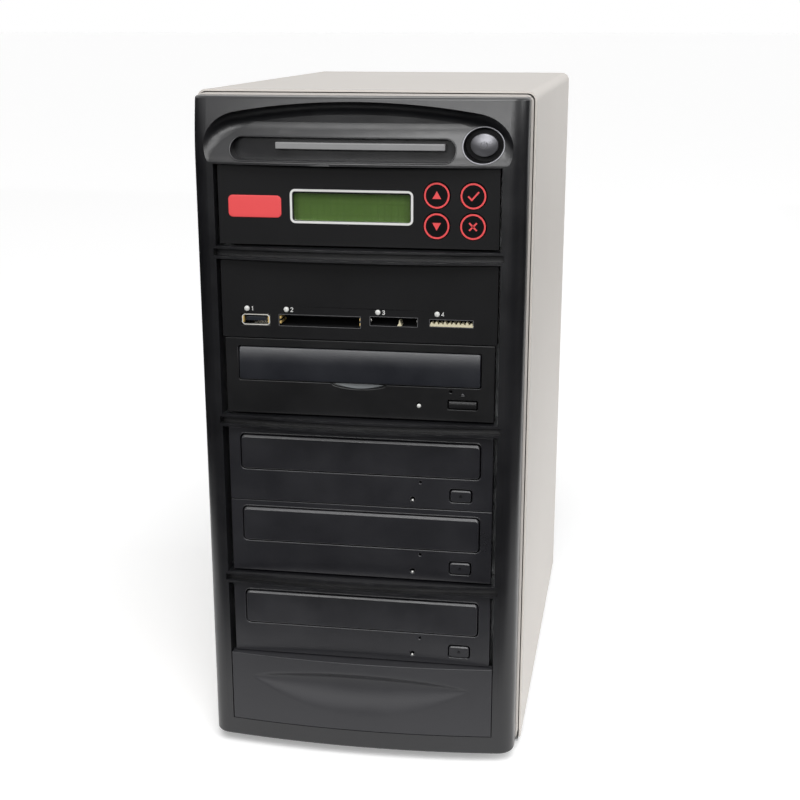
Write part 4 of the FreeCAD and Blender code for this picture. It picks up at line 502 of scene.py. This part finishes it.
def quarter(size, room):
    """How far an edge rounded over a quarter circle has fallen back at a distance from its brink."""
    return size - np.sqrt(np.maximum(size ** 2 - np.maximum(size - room, 0) ** 2, 0))


def spread(first, last, sizes, count):
    """Places from first to last: close together along the roundings at both ends, even between them."""
    turn = np.linspace(0, np.pi / 2, 9)
    step = np.unique(np.concatenate([size * (1 - np.cos(turn)) for size in sizes]))
    return np.concatenate([
        first + step, np.linspace(first + step[-1], last - step[-1], count)[1:-1], (last - step)[::-1],
    ])


def fronted(node, back):
    """Corners of what a CAD node has in front of a level across Y."""
    spots = np.array([spot.co for spot in NODES[node].data.vertices]) / MM
    ahead = spots[spots[:, 1] < back - CLOSE]
    return ahead.min(axis=0), ahead.max(axis=0)


def backed(node, back, mesh):
    """Add what a CAD node has behind a level across Y to a mesh, closed where it is cut."""
    cad = NODES[node].data
    levels = np.array([spot.co.y for spot in cad.vertices]) / MM
    work = bmesh.new()
    work.from_mesh(cad)
    work.faces.ensure_lookup_table()
    bmesh.ops.delete(work, context="FACES", geom=[
        work.faces[face.index] for face in cad.polygons
        if levels[list(face.vertices)].min() < back - CLOSE or levels[list(face.vertices)].max() < back + CLOSE
    ])
    bmesh.ops.remove_doubles(work, verts=work.verts, dist=CAD_WELD)
    bmesh.ops.edgeloop_fill(work, edges=[edge for edge in work.edges if edge.is_boundary])
    bmesh.ops.recalc_face_normals(work, faces=work.faces)
    work.from_mesh(mesh)
    work.to_mesh(mesh)
    work.free()
    return smoothed(mesh)


def moulded(node, back, relief, inset, corner, edge, columns, rows, bevel=0.0):
    """Moulded front that stands for a CAD node: a section in Y and Z carried along X. Its front is a height field
    over X and Z, all its edges turn over a quarter circle, its top edge leans back over the height of the bevel, and
    its height shrinks at both ends along the circle of the corners. What the node has behind the section is kept."""
    low, high = fronted(node, back)
    half = (high[2] - low[2]) / 2 - inset
    middle = (high[2] + low[2]) / 2
    along = spread(low[0] + inset, high[0] - inset, (corner, edge), columns)
    tall = spread(-half, half, (edge, bevel, bevel + BREAK), rows)
    reach = np.minimum(along - low[0], high[0] - along) - inset
    z = middle + tall * (1 - quarter(corner, reach) / half)[:, None]
    x = np.broadcast_to(along[:, None], z.shape)
    fall = np.maximum(quarter(edge, half - np.abs(tall)), quarter(edge, reach)[:, None])
    fall = fall + LEAN * np.maximum(bevel - half + tall, 0)
    front = laid(x, relief(x, z) + fall, z)
    behind = laid(x[:, [-1, 0]], float(back), z[:, [-1, 0]])
    points = capped(np.concatenate([front, behind], axis=1)) * MM
    mesh = backed(node, back, surface(f"{node}_moulded", points, around=True))
    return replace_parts(piece(f"{node}_moulded", mesh, FINISH_OF[node], BODY_OF[node]), node)


def pillow(node, back, top, bottom):
    """Height field that falls back along parabolas from the middle of a node to its top and its bottom."""
    low, high = fronted(node, back)

    def relief(x, z):
        share = (2 * z - low[2] - high[2]) / (high[2] - low[2])
        return low[1] + np.where(share > 0, top, bottom) * share ** 2
    return relief


def eased(share):
    """Smooth step from 0 to 1."""
    share = np.clip(share, 0, 1)
    return share ** 2 * (3 - 2 * share)


def finger_pull(x, z):
    """Height field of the blanking plate: the bow, with a lens-shaped hollow between two parabolas. The hollow falls
    in along a straight slope below its brow and comes out along a smooth step, both run together softly."""
    low, _ = fronted("blank_cover", BLANK_BACK)
    share = np.clip(1 - (x / PULL_HALF) ** 2, 0, 1)
    brow = low[2] + BROW + BROW_SWELL * share
    foot = low[2] + FOOT - FOOT_SWELL * share
    fall = PULL_STEEP * PULL_SOFT * np.logaddexp(0, (brow - z) / PULL_SOFT)
    rise = PULL_DEPTH * share * eased((z - foot) / np.maximum(PULL_RUN * (brow - foot), 0.1))
    hollow = -PULL_SOFT * np.logaddexp(-fall / PULL_SOFT, -rise / PULL_SOFT)
    return low[1] + BOW - np.sqrt(BOW ** 2 - x ** 2) + np.maximum(hollow, 0)


moulded(
    "source_tray_front", DOOR_BACK, pillow("source_tray_front", DOOR_BACK, 1.1, 0.2),
    inset=0.0, corner=1.2, edge=0.5, columns=3, rows=27,
)
moulded(
    "source_eject_button", CAP_BACK, pillow("source_eject_button", CAP_BACK, 0.5, 0.1),
    inset=0.25, corner=0.5, edge=0.4, columns=3, rows=15,
)
moulded("blank_cover", BLANK_BACK, finger_pull, inset=0.0, corner=0.3, edge=0.4, columns=201, rows=161)
for drive in WRITERS:
    door, cap = f"{drive}_tray_front", f"{drive}_eject_button"
    moulded(
        door, DOOR_BACK, pillow(door, DOOR_BACK, 0.0, 0.0),
        inset=0.25, corner=2.3, edge=0.5, columns=3, rows=5, bevel=1.5,
    )
    moulded(
        cap, CAP_BACK, pillow(cap, CAP_BACK, 0.0, 0.0),
        inset=0.3, corner=1.5, edge=0.35, columns=3, rows=5, bevel=0.8,
    )


# Rounded edges: lips of the dividers, mouths of the writers' trays, groove of the light bar, well of the power button,
# whose rim is silver as a painted highlight

BEAD = 0.45 * MM
# Where a bead's middle lies: inside the edge that it rounds over, behind the foremost face, behind the crown's face
BEAD_IN = 0.36 * MM
BEAD_FLUSH = 0.46 * MM
BEAD_LOW = 0.2 * MM
BEAD_STEPS = 400
LIPS = (103.9 * MM, 109.2 * MM)
LIP_HALF = 76.2
LIP_PITCH = 92.9 * MM
MOUTH_GAP = 0.4 * MM
MOUTH_CORNER = 2.9 * MM
WELL_MIDDLE = np.array([66.0, 349.0]) * MM
WELL_HALF = np.array([10.6, 9.05]) * MM


def even(path, count):
    """A closed path in X and Z walked in equal steps."""
    path = np.concatenate([path, path[:1]])
    gone = np.concatenate([[0], np.cumsum(np.linalg.norm(np.diff(path, axis=0), axis=1))])
    steps = np.linspace(0, gone[-1], count, endpoint=False)
    return np.stack([np.interp(steps, gone, path[:, 0]), np.interp(steps, gone, path[:, 1])], axis=1)


def bead(path, level, closed=True):
    """Rounded edge: a circle carried along a path in X and Z, at a level across Y (one, or one a point)."""
    if closed:
        ahead = np.roll(path, -1, axis=0) - np.roll(path, 1, axis=0)
    else:
        ahead = np.gradient(path, axis=0)
    ahead /= np.linalg.norm(ahead, axis=1, keepdims=True)
    turn = np.linspace(0, 2 * np.pi, 16, endpoint=False)
    out = BEAD * np.cos(turn)
    levels = np.broadcast_to(level, len(path))[:, None] + BEAD * np.sin(turn)
    points = laid(path[:, :1] + ahead[:, 1:] * out, levels, path[:, 1:] - ahead[:, :1] * out)
    return np.concatenate([points, points[:1]]) if closed else capped(points)


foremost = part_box("front_bezel")[0].y
along = np.linspace(-LIP_HALF, LIP_HALF, 97)
bow_line = (BOW - np.sqrt(BOW ** 2 - along ** 2)) * MM + foremost
for divider in range(3):
    for count, z in enumerate(LIPS):
        lip = np.stack([along * MM, np.full_like(along, z + divider * LIP_PITCH - BEAD_IN)], axis=1)
        points = bead(lip, bow_line + BEAD_FLUSH, closed=False)
        ink(f"divider_{divider}_lip_{count}", points, ABS, "front_bezel")

for drive in WRITERS:
    low, high = np.array(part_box(f"{drive}_tray_front"))
    out = MOUTH_GAP + BEAD_IN
    mouth = even(rounded_loop(low[0] - out, high[0] + out, low[2] - out, high[2] + out, MOUTH_CORNER), BEAD_STEPS)
    points = bead(mouth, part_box(f"{drive}_bezel")[0].y + BEAD_IN)
    ink(f"{drive}_mouth_bead", points, CHARCOAL, f"{drive}_bezel")

well = WELL_MIDDLE + WELL_HALF * circle(0, 0, 1.0, 160)
groove = even(rounded_loop(-67.3 * MM, 52.3 * MM, 340.0 * MM, 352.2 * MM, 5.9 * MM, 16), BEAD_STEPS)
# The well's rim is a real rounded edge; its silver finish is a painted highlight
for name, path, finish in (("well_bead_painted_highlight", well, BUTTON_AND_WELL_HIGHLIGHT), ("groove_bead", groove, ABS)):
    level = np.maximum(landed("front_bezel", path) + BEAD_LOW, foremost + BEAD_FLUSH)
    ink(name, bead(path, level), finish, "front_bezel")


# Control panel: white line round the display, coral rings and signs on the keys, a plain coloured plate

OUTLINE_WIDE = 1.2 * MM
PLATE_THICK = 0.4 * MM
RING = 6.2 * MM
RING_WIDE = 0.9 * MM
SIGN_WIDE = 0.85 * MM
SIGNS = {
    "up_key": [("fill", [(-2.3, -1.7), (2.3, -1.7), (0, 2.3)])],
    "down_key": [("fill", [(-2.3, 1.7), (0, -2.3), (2.3, 1.7)])],
    "enter_key": [("line", [(-2.7, -0.1), (-0.8, -2.0), (2.9, 2.2)])],
    "escape_key": [("line", [(-2.0, -2.0), (2.0, 2.0)]), ("line", [(-2.0, 2.0), (2.0, -2.0)])],
}

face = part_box("control_panel")[0].y
window_low, window_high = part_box("lcd_window")
frame_line = rounded_loop(
    window_low.x - 1.3 * MM, window_high.x + 1.0 * MM, window_low.z - 0.8 * MM, window_high.z + 1.4 * MM, 2.2 * MM,
)
ink("display_outline", stroke(frame_line, OUTLINE_WIDE, face, closed=True), WHITE_INK, "control_panel")

pane_back = window_high.y
glass_line = rounded_loop(window_low.x, window_high.x, window_low.z, window_high.z, 1.2 * MM)
ink("display_glass", slab(glass_line, pane_back + 0.2 * MM, pane_back + 0.1 * MM), DISPLAY, "control_panel")

plate_line = rounded_loop(
    window_low.x - 35.4 * MM, window_low.x - 6.6 * MM, window_low.z + 1.2 * MM, window_low.z + 12.8 * MM, 2.4 * MM,
)
ink("coloured_plate", slab(plate_line, face + SUNK, face - PLATE_THICK, 0.3 * MM), CORAL_INK, "control_panel")

for key, marks in SIGNS.items():
    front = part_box(key)[0].y
    middle = centre(key)
    ink(f"{key}_ring", stroke(circle(*middle, RING), RING_WIDE, front, closed=True), CORAL_INK, key)
    for count, (way, outline) in enumerate(marks):
        spots = np.array(outline) * MM + middle
        points = slab(spots, front + SUNK, front - FILM) if way == "fill" else stroke(spots, SIGN_WIDE, front)
        ink(f"{key}_sign_{count}", points, CORAL_INK, key)


# Power button: a broken ring with a bar, on the dome

POWER_RING = 1.7 * MM
POWER_WIDE = 0.4 * MM

middle = centre("power_button")
sweep = np.radians(np.linspace(125, 415, 40))
broken_ring = middle + POWER_RING * np.stack([np.cos(sweep), np.sin(sweep)], axis=1)
bar_line = middle + np.array([(0, 0.3), (0, 1.2), (0, 2.2)]) * MM
for name, path in (("power_sign_ring", broken_ring), ("power_sign_bar", bar_line)):
    ink(name, stroke(path, POWER_WIDE, landed("power_button", path)), GREY_INK, "power_button")


# Card reader: domed lamps with plain numbers, the contacts that show in the slots and the rims of the slots

LAMPS = (-61.1, -39.3, 10.8, 42.7)
LAMP_RADIUS = 1.35 * MM
LAMP_DOME = 0.5 * MM
NUMBERS = (
    [(-0.35, 0.6), (0.1, 1.0), (0.1, -1.0)],
    [(-0.6, 0.55), (-0.45, 0.85), (0, 1.0), (0.45, 0.85), (0.6, 0.5), (0.4, 0.1), (-0.6, -1.0), (0.65, -1.0)],
    [(-0.6, 0.7), (-0.2, 1.0), (0.3, 0.95), (0.55, 0.55), (0.3, 0.12), (-0.1, 0.05), (0.35, -0.05), (0.62, -0.5),
     (0.35, -0.92), (-0.15, -1.0), (-0.62, -0.7)],
    [(0.3, -1.0), (0.3, 1.0), (-0.65, -0.4), (0.65, -0.4)],
)
NUMBER_SIZE = 1.05 * MM
NUMBER_AWAY = 3.1 * MM
NUMBER_WIDE = 0.34 * MM
SHELL = (
    (-63.9, 8.3), (-62.7, 7.3), (-50.0, 7.3), (-48.8, 8.3), (-48.8, 11.8), (-50.0, 12.8), (-62.7, 12.8), (-63.9, 11.8),
)
SHELL_WIDE = 0.45 * MM
LEVER = ((21.0, 8.8), (23.4, 8.8), (22.9, 10.4), (22.2, 12.2), (21.9, 10.4))
SLOTS = {
    "wide": (-43.4, 1.4, 7.1, 13.4),
    "middle": (6.5, 32.3, 8.8, 13.8),
    "narrow": (38.7, 62.1, 9.3, 13.3),
}
SLOT_LINE = 0.22 * MM

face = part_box("reader_panel")[0].y
floor_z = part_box("reader_panel")[0].z - 0.2 * MM
lamp_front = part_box("status_leds")[0].y
lamp_z = centre("status_leds")[1]
for count, (x, number) in enumerate(zip(LAMPS, NUMBERS), start=1):
    ink(f"lamp_{count}_lens", lens(x * MM, lamp_z, LAMP_RADIUS, LAMP_DOME, lamp_front), EPOXY, "status_leds")
    path = np.array(number) * NUMBER_SIZE + (x * MM + NUMBER_AWAY, lamp_z)
    ink(f"lamp_{count}_number", stroke(path, NUMBER_WIDE, face), WHITE_INK, "reader_panel")


def block(name, left, right, low, high, back, front, finish, node, radius=0.2, edge=0.12):
    """Small bar along Y with a rounded rectangle as its section and a rounded front edge; sizes in millimetres."""
    outline = rounded_loop(left * MM, right * MM, floor_z + low * MM, floor_z + high * MM, radius * MM, 5)
    return ink(name, slab(outline, face + back * MM, face + front * MM, edge * MM), finish, node)


shell_line = np.array(SHELL) * MM + (0, floor_z)
# Rim of the shell: its pale, scattering tone is a painted reflection of the bright lower edge
ink("stick_shell_rim", stroke(shell_line, SHELL_WIDE, face + 0.4 * MM, closed=True), TIN_AND_PAINTED_GLINT, "usb_socket")
for side, x in (("left", -63.3), ("right", -49.4)):
    block(f"stick_spring_{side}", x - 0.3, x + 0.3, 8.4, 11.7, 3.0, 0.35, BRASS, "usb_socket", 0.1, 0.08)
block("stick_tongue", -61.8, -50.9, 9.4, 11.5, 12.0, 0.9, TONGUE, "usb_socket")
for count, x in enumerate((-60.2, -57.7, -55.2, -52.7)):
    block(f"stick_contact_{count}", x - 0.5, x + 0.5, 9.25, 9.5, 11.0, 1.5, GOLD, "usb_socket", 0.05, 0.03)
for side, left in (("left", -43.4), ("right", 0.5)):
    block(f"wide_slot_rail_{side}", left, left + 0.9, 7.6, 12.9, 14.0, 0.9, NYLON, "card_sockets")
    for count, low in enumerate((8.2, 10.9)):
        name = f"wide_slot_contact_{side}_{count}"
        block(name, left + 0.15, left + 1.15, low, low + 1.5, 12.0, 0.6, BRASS, "card_sockets")
lever = np.array(LEVER) * MM + (0, floor_z)
ink("middle_slot_lever", slab(lever, face + 8 * MM, face + 1.2 * MM, 0.1 * MM), CREAM, "card_sockets")
for side, left in (("left", 6.5), ("right", 31.3)):
    block(f"middle_slot_rail_{side}", left, left + 1.0, 10.9, 12.1, 14.0, 1.0, NICKEL, "card_sockets")
for slot, line in SLOTS.items():
    left, right, low, high = np.array(line) * MM
    edge_line = rounded_loop(left, right, floor_z + low, floor_z + high, 0.3 * MM, 4)
    ink(f"{slot}_slot_rim", stroke(edge_line, SLOT_LINE, face, closed=True), GREY_INK, "reader_panel")


def toothed_carrier():
    """Contact carrier: a strip along X whose top edge rises and falls as a row of worn teeth, ten to the strip."""
    along = np.linspace(0, 1, 241)
    wave = (along * 10) % 1
    teeth = np.clip(np.minimum(wave, 1 - wave) * 5 - 0.6, 0, 1)
    left, right, bottom, _ = SLOTS["narrow"]
    top = floor_z + (10.5 + 1.5 * teeth * (0.75 + 0.25 * np.cos(37 * along))) * MM
    low = np.full_like(top, floor_z + bottom * MM)
    x = (left + (right - left) * along[:, None]) * MM
    levels = face + np.array([0.9, 0.9, 6.0, 6.0]) * MM
    return capped(laid(x, levels, np.stack([low, top, top, low], axis=1)))


ink("narrow_slot_carrier", toothed_carrier(), CREAM, "card_sockets")


# Drives: a lens in each lamp hole, an eject sign at each button, a lining in the reading drive's finger notch

LENS_DOME = 0.7 * MM
EJECT_ROOF = np.array([(-0.9, 0.0), (0.9, 0.0), (0, 0.9)]) * MM
EJECT_RULE = np.array([(-0.9, -0.5), (0.9, -0.5)]) * MM
EJECT_WIDE = 0.3 * MM
NOTCH_HALF = 13.6 * MM
NOTCH_RISE = 2.3 * MM
NOTCH_DOWN = 0.75 * MM

for drive in DRIVES:
    low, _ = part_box(f"{drive}_bezel")
    button_low, button_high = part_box(f"{drive}_eject_button")
    spot = centre(f"{drive}_eject_button")
    if drive == "source":
        x, z, radius, depth = np.array([33.1, 7.8, 1.15, 0.3]) * MM
        spot[1] = button_high.z + 2.2 * MM
        node, level, tone = f"{drive}_bezel", low.y, GREY_INK
    else:
        # On the writers the milky lens sits small and low in its hole: a real lamp lens that also stands in for a
        # painted highlight on the hole's lower rim
        x, z, radius, depth = np.array([29.7, 4.25, 0.65, 0.75]) * MM
        node, level, tone = f"{drive}_eject_button", button_low.y, DARK_INK
    ink(f"{drive}_lamp_lens", lens(x, low.z + z, radius, LENS_DOME, low.y + depth), EPOXY, f"{drive}_bezel")
    ink(f"{drive}_eject_roof", slab(EJECT_ROOF + spot, level + SUNK, level - FILM), tone, node)
    ink(f"{drive}_eject_rule", stroke(EJECT_RULE + spot, EJECT_WIDE, level), tone, node)


def notch_lining():
    """Lining of the finger notch: a crescent between a straight top edge and a parabola, laid on the hollow, with a
    back as far behind it as a film is thick."""
    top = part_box("source_tray_front")[0].z - NOTCH_DOWN
    along = np.linspace(-1, 1, 41)[:, None]
    down = np.linspace(0, 1, 9)
    x, z = np.broadcast_arrays(along * NOTCH_HALF, top - (1 - along ** 2) * down * NOTCH_RISE)
    y = landed("source_bezel", np.stack([x, z], axis=-1).reshape(-1, 2)).reshape(x.shape)
    return np.concatenate([laid(x, y - FILM, z), laid(x, y + SUNK, z)[:, ::-1]], axis=1)


ink("notch_lining", notch_lining(), GREY_PS, "source_bezel")


# Back: signs on the mains rocker, brass sleeves on the blades of the inlet

ROCKER_AWAY = 5.5
ROCKER_WIDE = 0.5 * MM
BLADES = ((0.0, 3.3), (7.0, -2.5), (-7.0, -2.5))
BLADE_HALF_WIDE = 1.06 * MM
BLADE_HALF_TALL = 2.06 * MM

middle = centre("rocker_switch")
on_line = np.array([(-ROCKER_AWAY, -1.6), (-ROCKER_AWAY, 0.0), (-ROCKER_AWAY, 1.6)]) * MM + middle
off_ring = circle(middle[0] + ROCKER_AWAY * MM, middle[1], 1.5 * MM, 32)
for name, path, closed in (("rocker_on_sign", on_line, False), ("rocker_off_sign", off_ring, True)):
    points = stroke(path, ROCKER_WIDE, landed("rocker_switch", path, BACK), BACK, closed)
    ink(name, points, WHITE_INK, "rocker_switch")

_, inlet_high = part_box("mains_inlet")
inlet_x = centre("mains_inlet")[0]
blade_tip = inlet_high.y - 5.1 * MM
for count, (x, z) in enumerate(BLADES):
    x = inlet_x + x * MM
    z = inlet_high.z - 11.5 * MM + z * MM
    outline = rounded_loop(
        x - BLADE_HALF_WIDE, x + BLADE_HALF_WIDE, z - BLADE_HALF_TALL, z + BLADE_HALF_TALL, 0.2 * MM, 4,
    )
    blade = slab(outline, blade_tip - 10 * MM, blade_tip + 0.1 * MM, 0.15 * MM)
    ink(f"inlet_blade_{count}", blade, BRASS, "mains_inlet")


# Stage, light and camera

PAPER_LIFT = 0.2
AIR_LEVEL = 0.22
# Height at which cards lie over the paper
CARD_Z = 0.004
MIDDLE = (0, 0, 0.2)


def seen_rays(tree):
    """1 on the rays by which the camera, mirrors and glass see a surface, 0 on the rays that carry light."""
    path = add(tree, "LightPath").outputs
    seen = add(tree, "Math", {0: path["Is Camera Ray"], 1: path["Is Glossy Ray"]}, operation="ADD").outputs[0]
    return add(
        tree, "Math", {0: seen, 1: path["Is Transmission Ray"]}, operation="ADD", use_clamp=True,
    ).outputs[0]


def studio_paper():
    """White paper that keeps the shadows, lifted to full white where the camera and mirrors see it."""
    made, tree, shader = material(
        "studio_paper", Base_Color=linear("#fcfcfc"), Roughness=0.95, Specular_IOR_Level=0.1,
    )
    level = add(tree, "Math", {0: seen_rays(tree), 1: PAPER_LIFT}, operation="MULTIPLY")
    tree.links.new(level.outputs[0], shader.inputs["Emission Strength"])
    return made


def studio_air():
    """White surroundings as the camera and mirrors see them, at a low level as light."""
    air = bpy.data.worlds.new("studio_air")
    air.use_nodes = True
    tree = air.node_tree
    background = tree.nodes["Background"]
    tree.links.new(ramp(tree, seen_rays(tree), 0.0, 1.0, AIR_LEVEL, 1.0), background.inputs["Strength"])
    background.inputs["Color"].default_value = linear("#ffffff")
    return air


def staged(name, points, finish):
    """A sheet of the stage from a grid of points."""
    made = bpy.data.objects.new(name, surface(name, points))
    bpy.context.scene.collection.objects.link(made)
    made.data.materials.append(finish)
    return made


def sheet(name, width, y, z, finish):
    """Sheet carried along X: a line of places in Y and Z, repeated from side to side."""
    across = np.linspace(-width / 2, width / 2, 9)
    return staged(name, laid(across, np.array(y)[:, None], np.array(z)[:, None]), finish)


def flag(name, side, finish):
    """Card beside the tower, bent upwards: an L in X and Z carried along Y."""
    bend = np.array([(0.45, CARD_Z), (1.0, CARD_Z), (1.6, CARD_Z), (1.6, 0.35), (1.6, 0.7)])
    along = np.linspace(-2.6, 2.6, 5)[:, None]
    return staged(name, laid(side * bend[:, 0], along, bend[:, 1]), finish)


def lamp(name, kind, place, aim, power, **settings):
    """A studio lamp that faces a point."""
    light = bpy.data.lights.new(name, kind)
    light.energy = power
    for key, value in settings.items():
        setattr(light, key, value)
    made = bpy.data.objects.new(name, light)
    made.location = place
    made.rotation_euler = (Vector(aim) - Vector(place)).to_track_quat("-Z", "Y").to_euler()
    bpy.context.scene.collection.objects.link(made)


# White paper to the horizon, and black cards that only reflections see, so that the plastics stay dark; the card in
# front also takes its share of the scattered light away
sheet("studio_floor", 80, (-40, -20, 0, 20, 40, 60), (0, 0, 0, 0, 0, 0), studio_paper())
BLACK = material("black_card", Base_Color=linear("#0a0a0a"), Roughness=0.95, Specular_IOR_Level=0.0)[0]
card = sheet("black_card", 8, (-2.9, -2.8, -2.6, -1.5, -0.28), (0.55, 0.2, CARD_Z, CARD_Z, CARD_Z), BLACK)
for dark in (card, flag("left_flag", -1, BLACK), flag("right_flag", 1, BLACK)):
    dark.visible_camera = False
    dark.visible_shadow = False
    dark.visible_diffuse = dark is card

lamp("high_key", "SUN", (0.35, -1.25, 1.95), MIDDLE, 2.2, angle=np.radians(42))
lamp("low_front", "AREA", (0.0, -2.8, 1.05), (0, 0, 0.35), 30, shape="RECTANGLE", size=2.6, size_y=0.6)
lamp("right_fill", "AREA", (2.4, -0.2, 1.0), MIDDLE, 16, shape="RECTANGLE", size=1.2, size_y=1.2)
bpy.context.scene.world = studio_air()

camera = bpy.data.cameras.new("photo_camera")
camera.sensor_width = 36
camera.lens = 64.26
camera.shift_x = -0.00375
camera.shift_y = 0.075
viewer = bpy.data.objects.new("photo_camera", camera)
viewer.location = (0.1483, -0.8909, 0.4089)
viewer.rotation_euler = Vector((-0.1584, 0.9429, -0.2929)).to_track_quat("-Z", "Y").to_euler()
bpy.context.scene.collection.objects.link(viewer)
bpy.context.scene.camera = viewer
bpy.context.scene.view_settings.view_transform = "Standard"
